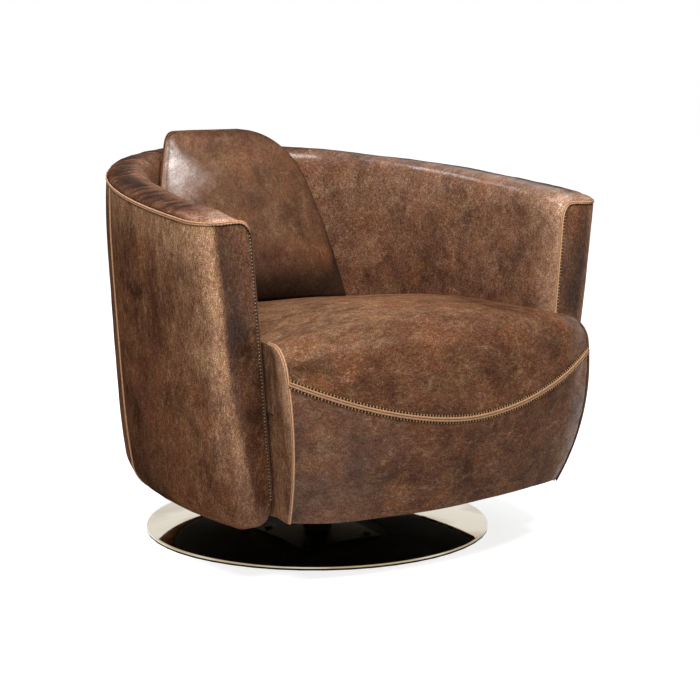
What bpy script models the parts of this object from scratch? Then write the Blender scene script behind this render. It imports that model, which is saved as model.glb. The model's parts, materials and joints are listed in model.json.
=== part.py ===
"""Swivel tub armchair in leather on a round disc base, in metres.

The chair faces -Y and +Z is up. The origin is on the floor, on the swivel axis.
"""

import math

import bmesh
import bpy
import numpy as np
from mathutils import Matrix

# Fits, sheets and piping
FIT = 0.0003
SEAM_FIT = 0.0005
LEATHER = 0.002
WELT = 0.0045
WELT_PROUD = 0.0018
WADDING = 0.001

# Tub plan at the rim: an ellipse, cut off square at the arm fronts
RIM_HALF_WIDTH = 0.415
RIM_LENGTH = 0.625
RIM_CENTRE_Y = -0.20
ARM_FRONT_Y = -0.308
ARM_THICKNESS = 0.0933
BACK_THICKNESS = 0.050
ARM_CORNER = 0.040
BACK_SEAM_Y = 0.080

# Tub section: rim height at Y = 0, its climb per metre, the lean of the walls per metre of height
RIM_HEIGHT = 0.628
RIM_CLIMB = 0.100
ARM_LEAN = 0.115
BACK_LEAN = 0.025
INNER_DRAFT = 0.034
CREST_RISE = 0.0148
FRONT_CREST_SHARE = 0.4
FRONT_CREST_REACH = 0.060
FRONT_LIFT = 0.002
KNEE_DROP = 0.030
KNEE_SQUARENESS = 0.77
BOTTOM_ROUND = 0.055
UNDER_TURN = 0.008
TIGHT_CORNER = 0.006
INNER_LOW = 0.300

# Tub frame
FRAME_SETBACK = 0.002
PANEL = 0.004
PANEL_LOW = 0.160
TOP_RAIL_DROP = 0.036
TOP_RAIL_DEPTH = 0.050
RAIL_WIDTH = 0.0250
POST_WIDTH = 0.0232
POST_LENGTH = 0.034
SIDE_POST_Y = -0.030
BACK_POST_AHEAD = 0.095
HOOP_INSET = 0.0165
HOOP_WIDTH = 0.0285
HOOP_HEIGHT = 0.035
BOARD = 0.018
BOARD_MARGIN = 0.0015
BOARD_FRONT_Y = -0.290
BOARD_NECK_SIDE = 0.010
DUST_CLOTH = 0.0008
DUST_HOLE_MARGIN = 0.010

# Seat frame and webbing
SIDE_RAIL_INSET = 0.0967
RAIL_THICK = 0.022
RAIL_FRONT_END_Y = -0.330
BACK_RAIL_AHEAD = 0.232
RAIL_TOP = 0.285
FRONT_RAIL_INSET = 0.0597
FRONT_RAIL_END = 0.020
FRONT_RAIL_BOW = 0.050
WEB_WIDTH = 0.060
WEB_THICK = 0.002
WEB_COUNT = 4
CROSS_WEB_PITCH = 0.140
CROSS_WEB_MID_Y = -0.080

# Seat upholstery, its rake and flare per metre
SEAT_SIDE_GAP = 0.0035
SEAT_BACK_AHEAD = 0.105
SEAT_SIDE_HEIGHT = 0.403
SEAT_CROWN = 0.048
SEAT_CROWN_Y = -0.242
SEAT_CROWN_LENGTH = 0.311
SEAT_CROWN_POWER = 2.9
SEAT_RAKE = 0.028
SEAT_FLARE = 0.200
SEAT_FRONT_Y = -0.400
SEAT_BOW = 0.066
SEAT_BELLY = 1.45
SEAT_BELLY_Z = 0.300
SEAT_ROLL = 0.036
SEAT_BOTTOM = 0.1140
SEAM_LOW = 0.275
SEAM_LIFT = 0.077
SEAM_POWER = 1.85
BORDER_STOP = 0.0035
BORDER_TUCK = 0.020

# Back pad
PAD_TOP = 0.714
PAD_FOOT_INSET = 0.1217
PAD_TOP_INSET = 0.1947
PAD_TOP_SHIFT = -0.009
PAD_SIDE_BOW = 0.0128
PAD_FOOT_AHEAD = 0.170
PAD_TOP_AHEAD = 0.065
PAD_BULGE = 0.034
PAD_HEAD_THICK = 0.050
PAD_CORNER_LEFT = 0.020
PAD_CORNER_RIGHT = 0.086
PAD_WALL_GAP = 0.0025

# Disc base and swivel
DISC_RADIUS = 0.315
DISC_SHEET = 0.0015
DISC_EDGE_TOP = 0.0075
DISC_EDGE_ROUND = 0.003
DISC_DOME = 0.0265
FLOOR_PAD = 0.003
BALLAST = 0.010
BALLAST_INSET = 0.065
FLANGE = 0.005
FLANGE_RADIUS = 0.070
COLUMN_LENGTH = 0.068
COLUMN_RADIUS = 0.028
BORE_RADIUS = 0.0205
BUSH_LENGTH = 0.018
BUSH_COLLAR = 0.003
LOWER_BUSH_LIFT = 0.014
SPINDLE_RADIUS = 0.0162
SPINDLE_COLLAR = 0.004
SPINDLE_COLLAR_RADIUS = 0.026
CLIP = 0.002
CLIP_WIDTH = 0.0045
CLIP_DEPTH = 0.0015
PLATE = 0.005
PLATE_HALF = 0.090
PLATE_BOLT_X = 0.070
FLANGE_BOLT_RADIUS = 0.053
BOLT_RADIUS = 0.004
BOLT_HEAD_RADIUS = 0.0075
BOLT_HEAD = 0.004
BOLT_BITE = 0.008

# How finely curves are cut
TUB_STATIONS = 31
TUB_ROWS = 5
SEAT_STATIONS = 17
PAD_STATIONS = 13
SEAT_TOP_ROWS = 8
DISC_SIDES = 48
ROUND_SIDES = 24
HOLE_SIDES = 16
BOLT_SIDES = 10
SHARP_ANGLE = math.radians(40)

# Heights that stack up from the floor
BALLAST_LOW = FLOOR_PAD + FIT
FLANGE_LOW = BALLAST_LOW + BALLAST + FIT
COLUMN_TOP = FLANGE_LOW + COLUMN_LENGTH
COLLAR_LOW = COLUMN_TOP + FIT + BUSH_COLLAR + FIT
PLATE_LOW = COLLAR_LOW + SPINDLE_COLLAR + FIT
BOARD_LOW = PLATE_LOW + PLATE + FIT
BOARD_TOP = BOARD_LOW + BOARD
TUB_BOTTOM = BOARD_LOW - FIT - LEATHER
FRAME_LOW = BOARD_TOP + FIT
HOOP_TOP = FRAME_LOW + HOOP_HEIGHT
SEAT_LOW = RAIL_TOP + WEB_THICK + WEB_THICK + 3 * FIT

# Layers of the tub wall, as depths from its outer face
SKIN = LEATHER + FIT
PANEL_DEPTH = LEATHER + WADDING
FRAME_DEPTH = PANEL_DEPTH + PANEL + WADDING
FOAM_DEPTH = FRAME_DEPTH + RAIL_WIDTH + WADDING
WELT_HALF = WELT / 2 + SEAM_FIT
FOAM_SKIN = SKIN + WADDING
ARM_FOAM_DEPTH = PANEL_DEPTH + 2 * WADDING
FRAME_END_Y = ARM_FRONT_Y + ARM_CORNER + FRAME_SETBACK

# Places that follow from the tub's inner ellipse and the disc
INNER_HALF_WIDTH = RIM_HALF_WIDTH - ARM_THICKNESS
INNER_LENGTH = RIM_LENGTH - BACK_THICKNESS
RIM_BACK_Y = RIM_CENTRE_Y + RIM_LENGTH
INNER_BACK_Y = RIM_CENTRE_Y + INNER_LENGTH
BACK_POST_Y = RIM_BACK_Y - BACK_POST_AHEAD
BACK_RAIL_Y = INNER_BACK_Y - BACK_RAIL_AHEAD
SIDE_RAIL_X = INNER_HALF_WIDTH - SIDE_RAIL_INSET
FRONT_RAIL_HALF = INNER_HALF_WIDTH - FRONT_RAIL_INSET
WEB_PITCH = 2 * SIDE_RAIL_X / (WEB_COUNT + 0.5)
SEAT_BACK_Y = INNER_BACK_Y - SEAT_BACK_AHEAD
PAD_FOOT_HALF = INNER_HALF_WIDTH - PAD_FOOT_INSET
PAD_TOP_HALF = INNER_HALF_WIDTH - PAD_TOP_INSET
PAD_FOOT_Y = INNER_BACK_Y - PAD_FOOT_AHEAD
PAD_TOP_Y = INNER_BACK_Y - PAD_TOP_AHEAD
BALLAST_RADIUS = DISC_RADIUS - BALLAST_INSET
PAD_RISE = PAD_TOP - SEAT_SIDE_HEIGHT
PAD_CORNER_SHARE = PAD_CORNER_RIGHT / PAD_RISE
PAD_ROWS = [*np.linspace(0, 1 - PAD_CORNER_SHARE, 6), *(1 - PAD_CORNER_SHARE * np.array([0.57, 0.28, 0.08, 0]))]
COVER_MARGIN = LEATHER + WELT + 2 * SEAM_FIT


def clear_scene():
    for found in list(bpy.data.objects):
        bpy.data.objects.remove(found, do_unlink=True)


def make_material(name, colour, metallic, roughness):
    made = bpy.data.materials.new(name)
    made.use_nodes = True
    shader = made.node_tree.nodes["Principled BSDF"]
    shader.inputs["Base Color"].default_value = (*colour, 1.0)
    shader.inputs["Metallic"].default_value = metallic
    shader.inputs["Roughness"].default_value = roughness
    return made


def add_solid(name, points, faces, look):
    """One closed mesh object whose faces point outwards."""
    mesh = bpy.data.meshes.new(name)
    mesh.from_pydata([tuple(p) for p in points], [], faces)
    shape = bmesh.new()
    shape.from_mesh(mesh)
    bmesh.ops.recalc_face_normals(shape, faces=shape.faces[:])
    if shape.calc_volume(signed=True) < 0:
        bmesh.ops.reverse_faces(shape, faces=shape.faces[:])
    shape.to_mesh(mesh)
    shape.free()
    mesh.shade_smooth()
    mesh.set_sharp_from_angle(angle=SHARP_ANGLE)
    mesh.materials.append(LOOKS[look])
    made = bpy.data.objects.new(name, mesh)
    bpy.context.scene.collection.objects.link(made)
    return made


def shell(name, outer, inner, look):
    """A sheet between two grids of points, closed round its four edges."""
    rows, columns = outer.shape[:2]
    points = np.concatenate([outer.reshape(-1, 3), inner.reshape(-1, 3)])
    skip = rows * columns
    faces = []
    for j in range(rows - 1):
        for i in range(columns - 1):
            a = j * columns + i
            b = a + columns
            faces.append((a, a + 1, b + 1, b))
            faces.append((skip + a, skip + b, skip + b + 1, skip + a + 1))
    top = list(range(columns))
    right = [j * columns + columns - 1 for j in range(rows)]
    foot = [(rows - 1) * columns + i for i in range(columns)]
    left = [j * columns for j in range(rows)]
    for edge in (top, right, foot, left):
        for a, b in zip(edge, edge[1:]):
            faces.append((a, b, skip + b, skip + a))
    return add_solid(name, points, faces, look)


def sweep(name, sections, look):
    """A solid through closed loops of points, with flat ends."""
    stations, around = sections.shape[:2]
    points = sections.reshape(-1, 3)
    faces = [tuple(range(around))]
    faces.append(tuple(range((stations - 1) * around, stations * around)))
    for j in range(stations - 1):
        for i in range(around):
            a = j * around + i
            b = j * around + (i + 1) % around
            faces.append((a, b, b + around, a + around))
    return add_solid(name, points, faces, look)


def ring_solid(name, sections, look):
    """A solid through closed loops that comes back to its start."""
    stations, around = sections.shape[:2]
    faces = []
    for j in range(stations):
        for i in range(around):
            here = j * around
            there = ((j + 1) % stations) * around
            k = (i + 1) % around
            faces.append((here + i, here + k, there + k, there + i))
    return add_solid(name, sections.reshape(-1, 3), faces, look)


def turned(name, profile, look, sides=ROUND_SIDES):
    """A closed outline of radius and height, turned round the Z axis."""
    points = []
    rings = []
    for radius, z in profile:
        count = sides if radius > 0 else 1
        rings.append(range(len(points), len(points) + count))
        for k in range(count):
            turn = 2 * math.pi * k / sides
            points.append((radius * math.cos(turn), radius * math.sin(turn), z))
    faces = []
    for here, there in zip(rings, rings[1:] + rings[:1]):
        for k in range(sides):
            near = (here[k % len(here)], here[(k + 1) % len(here)])
            far = (there[(k + 1) % len(there)], there[k % len(there)])
            corners = list(dict.fromkeys(near + far))
            if len(corners) > 2:
                faces.append(tuple(corners))
    return add_solid(name, points, faces, look)


def block(name, low, high, look):
    """A rectangular block between two opposite corners."""
    x0, y0, z0 = low
    x1, y1, z1 = high
    loop = [(x0, y0), (x1, y0), (x1, y1), (x0, y1)]
    return prism(name, loop, z0, z1, look)


def prism(name, outline, low, high, look):
    """A flat outline raised from one height to another."""
    sections = np.array([[(x, y, z) for x, y in outline] for z in (low, high)])
    return sweep(name, sections, look)


def drill(target, places, radius, low, high):
    """Round holes along Z through or into an object."""
    points = []
    faces = []
    sides = HOLE_SIDES
    for x, y in places:
        first = len(points)
        for z in (low, high):
            for k in range(sides):
                turn = 2 * math.pi * k / sides
                points.append((x + radius * math.cos(turn), y + radius * math.sin(turn), z))
        faces.append(tuple(range(first + sides - 1, first - 1, -1)))
        faces.append(tuple(range(first + sides, first + 2 * sides)))
        for k in range(sides):
            a = first + k
            b = first + (k + 1) % sides
            faces.append((a, b, b + sides, a + sides))
    mesh = bpy.data.meshes.new(target.name + "_holes")
    mesh.from_pydata(points, [], faces)
    cutter = bpy.data.objects.new(mesh.name, mesh)
    bpy.context.scene.collection.objects.link(cutter)
    cutter.hide_render = True
    cutter.display_type = "WIRE"
    cut = target.modifiers.new("holes", "BOOLEAN")
    cut.operation = "DIFFERENCE"
    cut.solver = "EXACT"
    cut.object = cutter


def mirrored(points):
    return points * np.array([-1.0, 1.0, 1.0])


def station_of(y):
    """The place along the tub, 0 at the back and 1 at the arm front, where the rim is at this Y."""
    front = math.acos((ARM_FRONT_Y - RIM_CENTRE_Y) / RIM_LENGTH)
    return math.acos((y - RIM_CENTRE_Y) / RIM_LENGTH) / front


def rim_at(s):
    """Outer rim point, unit direction inwards and wall thickness at a place along the tub."""
    outer_end = math.acos((ARM_FRONT_Y - RIM_CENTRE_Y) / RIM_LENGTH)
    inner_end = math.acos((ARM_FRONT_Y - RIM_CENTRE_Y) / INNER_LENGTH)
    outer = np.array([RIM_HALF_WIDTH * math.sin(s * outer_end), RIM_LENGTH * math.cos(s * outer_end)])
    inner = np.array([INNER_HALF_WIDTH * math.sin(s * inner_end), INNER_LENGTH * math.cos(s * inner_end)])
    across = inner - outer
    thickness = float(np.hypot(*across))
    outer[1] += RIM_CENTRE_Y
    return outer, across / thickness, thickness


def rim_z(s):
    return RIM_HEIGHT + RIM_CLIMB * rim_at(s)[0][1]


def lean_at(s):
    return BACK_LEAN + (ARM_LEAN - BACK_LEAN) * s * s


def wall_point(s, depth, z):
    """A point of the tub wall at a depth from its leaning outer face."""
    outer, inwards, _ = rim_at(s)
    x, y = outer + inwards * (lean_at(s) * (rim_z(s) - z) + depth)
    return np.array([x, y, z])


def wall_depth(s, z):
    """Depth of the tub's inner face."""
    return rim_at(s)[2] - INNER_DRAFT * (rim_z(s) - z)


def corner_cut(reach, depth=0.0):
    """Depth at which the rounded arm corner lies, this far behind the arm front and inside its face."""
    if reach >= ARM_CORNER:
        return depth
    return ARM_CORNER - math.sqrt((ARM_CORNER - depth) ** 2 - (ARM_CORNER - reach) ** 2)


def corner_share(reach):
    """0 where the arm corner starts on the side, 1 where it ends on the arm front."""
    return math.asin(max(1 - reach / ARM_CORNER, 0.0)) / (math.pi / 2)


def welt_z(s):
    """Height of the rim's piping."""
    reach = max(rim_at(s)[0][1] - ARM_FRONT_Y, 0.0)
    return rim_z(s) + FRONT_LIFT * corner_share(reach)


def crest_outline(s):
    """Depths and heights over the rim, from the welt up, over and down to the seat."""
    outer, _, thickness = rim_at(s)
    top = rim_z(s)
    reach = max(outer[1] - ARM_FRONT_Y, 0.0)
    share = min(reach / FRONT_CREST_REACH, 1.0)
    rise = CREST_RISE * (FRONT_CREST_SHARE + (1 - FRONT_CREST_SHARE) * share)
    start = corner_cut(reach)
    middle = (start + thickness) / 2
    knee = wall_depth(s, top - KNEE_DROP)
    edge = welt_z(s) + WELT_HALF
    outline = []
    for turn in np.radians([0, 35, 65]):
        depth = start + (middle - start) * (1 - math.cos(turn))
        outline.append((depth, edge + (top + rise - edge) * math.sin(turn)))
    for turn in np.radians([0, 20, 40, 60, 90]):
        depth = middle + (knee - middle) * math.sin(turn) ** KNEE_SQUARENESS
        drop = (rise + KNEE_DROP) * max(math.cos(turn), 0.0) ** KNEE_SQUARENESS
        outline.append((depth, top - KNEE_DROP + drop))
    for z in (SEAT_SIDE_HEIGHT, INNER_LOW):
        outline.append((wall_depth(s, z), z))
    return np.array(outline)


def inset(outline, distance):
    """A path of (depth, height) moved to its right by a distance, still starting at its own height."""
    steps = np.diff(outline, axis=0)
    steps /= np.hypot(*steps.T)[:, None]
    sides = np.c_[steps[:, 1], -steps[:, 0]]
    before = np.vstack([sides[:1], sides])
    after = np.vstack([sides, sides[-1:]])
    along = before + after
    moved = outline + 2 * distance * along / (along * along).sum(axis=1)[:, None]
    moved[0] = (outline[0, 0] + distance / steps[0, 1], outline[0, 1])
    return moved


def frame_stations():
    """Places along the tub that all its layers share, from the left arm to the right."""
    end = station_of(FRAME_END_Y)
    return np.linspace(-end, end, TUB_STATIONS)


def tub_stations(front_y):
    """The shared places and more of them round the arm corners."""
    corner = np.array([station_of(front_y + (FRAME_END_Y - front_y) * f) for f in (0.0, 0.2, 0.5)])
    return np.concatenate([-corner, frame_stations(), corner[::-1]])


def wall_rows(s, low, high):
    """Heights from low to high with the rows between them that all layers of the wall share."""
    foot = TUB_BOTTOM + BOTTOM_ROUND
    shared = [foot + (rim_z(s) - foot) * k / TUB_ROWS for k in range(1, TUB_ROWS)]
    return [low] + [z for z in shared if low < z < high] + [high]


def tub_layer(stations, section):
    """Closed loops of (depth, height) at each place along the tub, as points."""
    return np.array([[wall_at(s, depth, z) for depth, z in section(abs(s))] for s in stations])


def wall_at(s, depth, z):
    point = wall_point(abs(s), depth, z)
    if s < 0:
        point[0] = -point[0]
    return point


def inner_wall(z):
    """Half width and Y of the tub's inner face at a height, from the arm front to the back."""
    places = np.linspace(1, 0, 49)
    points = np.array([wall_point(s, wall_depth(s, z), z) for s in places])
    return points[:, 0], points[:, 1]


def half_gap(y, z):
    """Half the width between the arms, and of the seat where it stands in front of them."""
    half, along = inner_wall(z)
    flare = SEAT_FLARE * max(ARM_FRONT_Y - BORDER_STOP - y, 0.0)
    return float(np.interp(y, along, half)) - SEAT_SIDE_GAP + flare


def back_wall_y(x, z):
    """Y of the tub's inner face behind a point of the back pad."""
    half, along = inner_wall(z)
    back = along > RIM_CENTRE_Y
    return float(np.interp(abs(x), half[back][::-1], along[back][::-1]))


def corner_point(share, depth, z):
    """A point of the outer leather round the arm's corner, from its side to its front."""
    radius = max(ARM_CORNER - depth, TIGHT_CORNER)
    centre = depth + radius
    turn = share * math.pi / 2
    s = station_of(ARM_FRONT_Y + centre - radius * math.sin(turn))
    return wall_point(s, centre - radius * math.cos(turn), z)


def front_point(share, depth, z):
    """A point of the outer leather over the arm front, from the corner to the welt beside the seat."""
    start = max(ARM_CORNER, depth + TIGHT_CORNER)
    end = wall_depth(1.0, z) - 2 * WELT_HALF
    return wall_point(station_of(ARM_FRONT_Y + depth), start + (end - start) * share, z)


def side_point(s, depth, z):
    """A point of the outer leather's side, drawn back where a deep fold needs room at the corner."""
    first = station_of(BACK_SEAM_Y)
    full = station_of(ARM_FRONT_Y + ARM_CORNER) - first
    room = station_of(ARM_FRONT_Y + max(ARM_CORNER, depth + TIGHT_CORNER)) - first
    return wall_point(first + (s - first) * room / full, depth, z)


def cover_rows(s, top, depth):
    """Depths and heights of the outer leather from its top edge, down and round to the underside."""
    low = TUB_BOTTOM + BOTTOM_ROUND
    rows = [(depth, z) for z in wall_rows(s, low, top)[::-1]]
    for turn in np.radians([22.5, 45, 67.5, 90]):
        reach = BOTTOM_ROUND - depth
        rows.append((BOTTOM_ROUND - reach * math.cos(turn), low - reach * math.sin(turn)))
    rows.append((BOTTOM_ROUND + UNDER_TURN, TUB_BOTTOM + depth))
    return rows


def front_top(share):
    """Height of the arm front's leather under the welt that frames it."""
    outline = inset(crest_outline(1.0), 2 * WELT_HALF)[1:]
    widest = int(np.argmax(outline[:, 0]))
    depth = ARM_CORNER + (outline[widest, 0] - ARM_CORNER) * share
    return float(np.interp(depth, outline[: widest + 1, 0], outline[: widest + 1, 1]))


def side_cover_grid(depth):
    seam = station_of(BACK_SEAM_Y - WELT_HALF)
    bend = station_of(ARM_FRONT_Y + ARM_CORNER)
    shared = [s for s in frame_stations() if seam < s < bend]
    grid = []
    for s in [seam, *shared, bend]:
        grid.append([side_point(s, d, z) for d, z in cover_rows(s, rim_z(s) - WELT_HALF, depth)])
    for share in (0.25, 0.5, 0.75, 1.0):
        s = station_of(ARM_FRONT_Y + ARM_CORNER * (1 - math.sin(share * math.pi / 2)))
        rows = cover_rows(s, welt_z(s) - WELT_HALF, depth)
        grid.append([corner_point(share, d, z) for d, z in rows])
    for share in (0.3, 0.6, 0.8, 0.93, 1.0):
        rows = cover_rows(1.0, front_top(share), depth)
        grid.append([front_point(share, d, z) for d, z in rows])
    return np.array(grid)


def back_cover_grid(depth):
    seam = station_of(BACK_SEAM_Y + WELT_HALF)
    shared = [s for s in frame_stations() if abs(s) < seam]
    grid = []
    for s in [-seam, *shared, seam]:
        rows = cover_rows(abs(s), rim_z(abs(s)) - WELT_HALF, depth)
        grid.append([wall_at(s, d, z) for d, z in rows])
    return np.array(grid)


def back_seam_grid(depth, middle_depth):
    """Piping down the seam between side and back leather, proud in its middle."""
    grid = []
    for share, proud in ((-1, depth), (0, middle_depth), (1, depth)):
        s = station_of(BACK_SEAM_Y + share * WELT / 2)
        rows = cover_rows(s, rim_z(s) - WELT_HALF, LEATHER)
        lift = proud - LEATHER
        low = TUB_BOTTOM + BOTTOM_ROUND
        column = []
        for d, z in rows[:-1]:
            reach = max(BOTTOM_ROUND - d, 0.0) / (BOTTOM_ROUND - LEATHER)
            sink = max(low - z, 0.0) / (BOTTOM_ROUND - LEATHER)
            column.append(wall_point(s, d + lift * reach, z + lift * sink))
        grid.append(column)
    return np.array(grid)


def build_outer_covers():
    outer = side_cover_grid(0.0)
    inner = side_cover_grid(LEATHER)
    shell("outer_side_right", outer, inner, "leather")
    shell("outer_side_left", mirrored(outer), mirrored(inner), "leather")
    shell("outer_back", back_cover_grid(0.0), back_cover_grid(LEATHER), "leather")
    proud = back_seam_grid(0.0, -WELT_PROUD)
    flush = back_seam_grid(LEATHER, LEATHER)
    shell("back_seam_welt_right", proud, flush, "welt")
    shell("back_seam_welt_left", mirrored(proud), mirrored(flush), "welt")


def crest_layer(depth):
    """The inside of the tub and its rim, set back by a depth."""
    stations = tub_stations(ARM_FRONT_Y + WELT_HALF)
    return tub_layer(stations, lambda s: inset(crest_outline(s), depth))


def build_inner_cover():
    shell("inner_cover", crest_layer(0.0), crest_layer(LEATHER), "leather")


def foam_section(s):
    """The tub's padding: over the top rail and down inside the frame."""
    start = corner_cut(max(rim_at(s)[0][1] - ARM_FRONT_Y, 0.0), PANEL_DEPTH)
    low = rim_z(s) - TOP_RAIL_DROP + WADDING
    outline = inset(crest_outline(s), FOAM_SKIN)[1:]
    under = [(FOAM_DEPTH, INNER_LOW), (FOAM_DEPTH, low), (start, low), (start, rim_z(s) - WELT_HALF)]
    return np.vstack([outline, under])


def build_tub_foam():
    sweep("tub_foam", tub_layer(tub_stations(ARM_FRONT_Y + 2 * PANEL_DEPTH), foam_section), "foam")


def build_arm_front_foam():
    """Padding that rounds the arm's outer front corner, in front of the frame."""
    back = station_of(FRAME_END_Y - FIT)
    inside = FOAM_DEPTH - 2 * WADDING
    foot = TUB_BOTTOM + BOTTOM_ROUND
    loops = []
    for z in wall_rows(1.0, foot, rim_z(1.0) - TOP_RAIL_DROP):
        loop = [wall_point(back, ARM_FOAM_DEPTH, z)]
        loop += [corner_point(share, ARM_FOAM_DEPTH, z) for share in (0.0, 0.25, 0.5, 0.75)]
        loop.append(wall_point(station_of(ARM_FRONT_Y + ARM_FOAM_DEPTH), inside, z))
        loop.append(wall_point(back, inside, z))
        loops.append(loop)
    loops = np.array(loops)
    sweep("arm_front_foam_right", loops, "foam")
    sweep("arm_front_foam_left", mirrored(loops), "foam")


def loop_of(near, far, heights):
    """A board's section as a closed loop of depth and height."""
    return [(near, z) for z in heights] + [(far, z) for z in heights[::-1]]


def build_tub_frame():
    stations = frame_stations()

    def panel(s):
        rows = wall_rows(s, PANEL_LOW, rim_z(s) - TOP_RAIL_DROP)
        return loop_of(PANEL_DEPTH, PANEL_DEPTH + PANEL, rows)

    def rail(s):
        high = rim_z(s) - TOP_RAIL_DROP
        return loop_of(FRAME_DEPTH, FRAME_DEPTH + RAIL_WIDTH, [high - TOP_RAIL_DEPTH, high])

    def hoop(s):
        return loop_of(HOOP_INSET, HOOP_INSET + HOOP_WIDTH, [FRAME_LOW, HOOP_TOP])

    def post(s):
        high = rim_z(s) - TOP_RAIL_DROP - TOP_RAIL_DEPTH - FIT
        return loop_of(FRAME_DEPTH, FRAME_DEPTH + POST_WIDTH, wall_rows(s, HOOP_TOP + FIT, high))

    sweep("outer_panel", tub_layer(stations, panel), "plywood")
    sweep("top_rail", tub_layer(stations, rail), "hardwood")
    sweep("base_hoop", tub_layer(stations, hoop), "hardwood")
    for name, y in (("front_post", FRAME_END_Y), ("side_post", SIDE_POST_Y), ("back_post", BACK_POST_Y)):
        sections = tub_layer((station_of(y), station_of(y + POST_LENGTH)), post)
        sweep(name + "_right", sections, "hardwood")
        sweep(name + "_left", mirrored(sections), "hardwood")


def board_outline(depth):
    """Plan of the bottom board: the tub's underside with a neck between the arm fronts."""
    end = station_of(ARM_FRONT_Y + BOTTOM_ROUND + UNDER_TURN + 2 * TIGHT_CORNER)
    outline = [wall_at(s, depth, BOARD_LOW)[:2] for s in np.linspace(-end, end, TUB_STATIONS)]
    neck = wall_point(1.0, wall_depth(1.0, BOARD_LOW), BOARD_LOW)[0] - BOARD_NECK_SIDE
    shoulder = outline[0][1]
    outline += [(neck, shoulder), (neck, BOARD_FRONT_Y), (-neck, BOARD_FRONT_Y), (-neck, shoulder)]
    return outline


def build_bottom():
    board = prism("bottom_board", board_outline(BOTTOM_ROUND + BOARD_MARGIN), BOARD_LOW, BOARD_TOP, "plywood")
    reach = PLATE_BOLT_X
    places = [(x, y) for x in (-reach, reach) for y in (-reach, reach)]
    drill(board, places, BOLT_RADIUS + FIT, BOARD_LOW - FIT, BOARD_LOW + BOLT_BITE + FIT)
    outline = np.array(board_outline(BOTTOM_ROUND + UNDER_TURN + BOARD_MARGIN))
    hole = PLATE_HALF * math.sqrt(2) + DUST_HOLE_MARGIN
    angles = np.arctan2(outline[:, 1], outline[:, 0])
    ring = np.c_[hole * np.cos(angles), hole * np.sin(angles)]
    high = BOARD_LOW - FIT
    loops = []
    for (x, y), (u, v) in zip(outline, ring):
        loops.append([(x, y, high - DUST_CLOTH), (x, y, high), (u, v, high), (u, v, high - DUST_CLOTH)])
    ring_solid("dust_cover", np.array(loops), "cloth")


def front_rail_y(x):
    return RAIL_FRONT_END_Y - FIT - FRONT_RAIL_END - FRONT_RAIL_BOW * (1 - (x / FRONT_RAIL_HALF) ** 2)


def build_seat_frame():
    back_end = BACK_RAIL_Y + RAIL_THICK
    inside = SIDE_RAIL_X - RAIL_THICK / 2
    outside = SIDE_RAIL_X + RAIL_THICK / 2
    side_top = RAIL_TOP + FIT + WEB_THICK
    low = (inside, RAIL_FRONT_END_Y, FRAME_LOW)
    block("side_rail_right", low, (outside, back_end, side_top), "hardwood")
    block("side_rail_left", (-outside, *low[1:]), (-inside, back_end, side_top), "hardwood")
    joint = inside - FIT
    block("back_rail", (-joint, BACK_RAIL_Y, FRAME_LOW), (joint, back_end, RAIL_TOP), "hardwood")
    sections = []
    for x in FRONT_RAIL_HALF * seat_shares(0.0):
        near = front_rail_y(x)
        far = RAIL_FRONT_END_Y - FIT
        low_z = SEAT_BOTTOM + SKIN
        sections.append([(x, near, low_z), (x, far, low_z), (x, far, RAIL_TOP), (x, near, RAIL_TOP)])
    sweep("front_rail", np.array(sections), "hardwood")
    web_low = RAIL_TOP + FIT
    for k in range(WEB_COUNT):
        x = (k - (WEB_COUNT - 1) / 2) * WEB_PITCH
        front = RAIL_FRONT_END_Y - FRONT_RAIL_END
        low = (x - WEB_WIDTH / 2, front, web_low)
        block(f"seat_web_{k + 1}", low, (x + WEB_WIDTH / 2, back_end, web_low + WEB_THICK), "webbing")
    cross_low = side_top + FIT
    for k in range(3):
        y = CROSS_WEB_MID_Y + (k - 1) * CROSS_WEB_PITCH
        low = (-outside, y - WEB_WIDTH / 2, cross_low)
        block(f"cross_web_{k + 1}", low, (outside, y + WEB_WIDTH / 2, cross_low + WEB_THICK), "webbing")


def seat_top_z(share, y):
    """Height of the crowned seat, which falls to the back, at a share of its half width."""
    lift = max(1 - ((y - SEAT_CROWN_Y) / SEAT_CROWN_LENGTH) ** 2, 0.0)
    side = SEAT_SIDE_HEIGHT - SEAT_RAKE * (y - ARM_FRONT_Y)
    return side + SEAT_CROWN * lift * (1 - abs(share) ** SEAT_CROWN_POWER)


def seat_face_y(share, z):
    """Y of the seat's bowed, bellied front face."""
    return SEAT_FRONT_Y - SEAT_BOW * (1 - share * share) + SEAT_BELLY * (z - SEAT_BELLY_Z) ** 2


def seam_z(share):
    return SEAM_LOW + SEAM_LIFT * abs(share) ** SEAM_POWER


def seat_rows(share, depth, low):
    """Y and Z over the seat from back to front, round its roll and down its face to a height."""
    edge = seat_top_z(share, SEAT_FRONT_Y)
    roll_z = edge - SEAT_ROLL
    start = seat_face_y(share, edge) + SEAT_ROLL
    rows = []
    for y in [*np.linspace(SEAT_BACK_Y, ARM_FRONT_Y, SEAT_TOP_ROWS - 1), (ARM_FRONT_Y + start) / 2]:
        blend = (y - SEAT_BACK_Y) / (start - SEAT_BACK_Y)
        rows.append((y, seat_top_z(share, y) + (edge - seat_top_z(share, start)) * blend - depth))
    for turn in np.radians([90, 67.5, 45, 22.5]):
        z = roll_z + (SEAT_ROLL - depth) * math.sin(turn)
        rows.append((seat_face_y(share, z) + SEAT_ROLL - (SEAT_ROLL - depth) * math.cos(turn), z))
    for f in (0.0, 0.35, 0.7, 1.0):
        z = roll_z + (low - roll_z) * f
        rows.append((seat_face_y(share, z) + depth, z))
    return rows


def seat_points(share, rows):
    return [(share * half_gap(y, z), y, z) for y, z in rows]


def share_inside(margin):
    """Share of the seat's half width that is left inside a margin."""
    return 1 - margin / half_gap(ARM_FRONT_Y, SEAT_BOTTOM)


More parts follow.
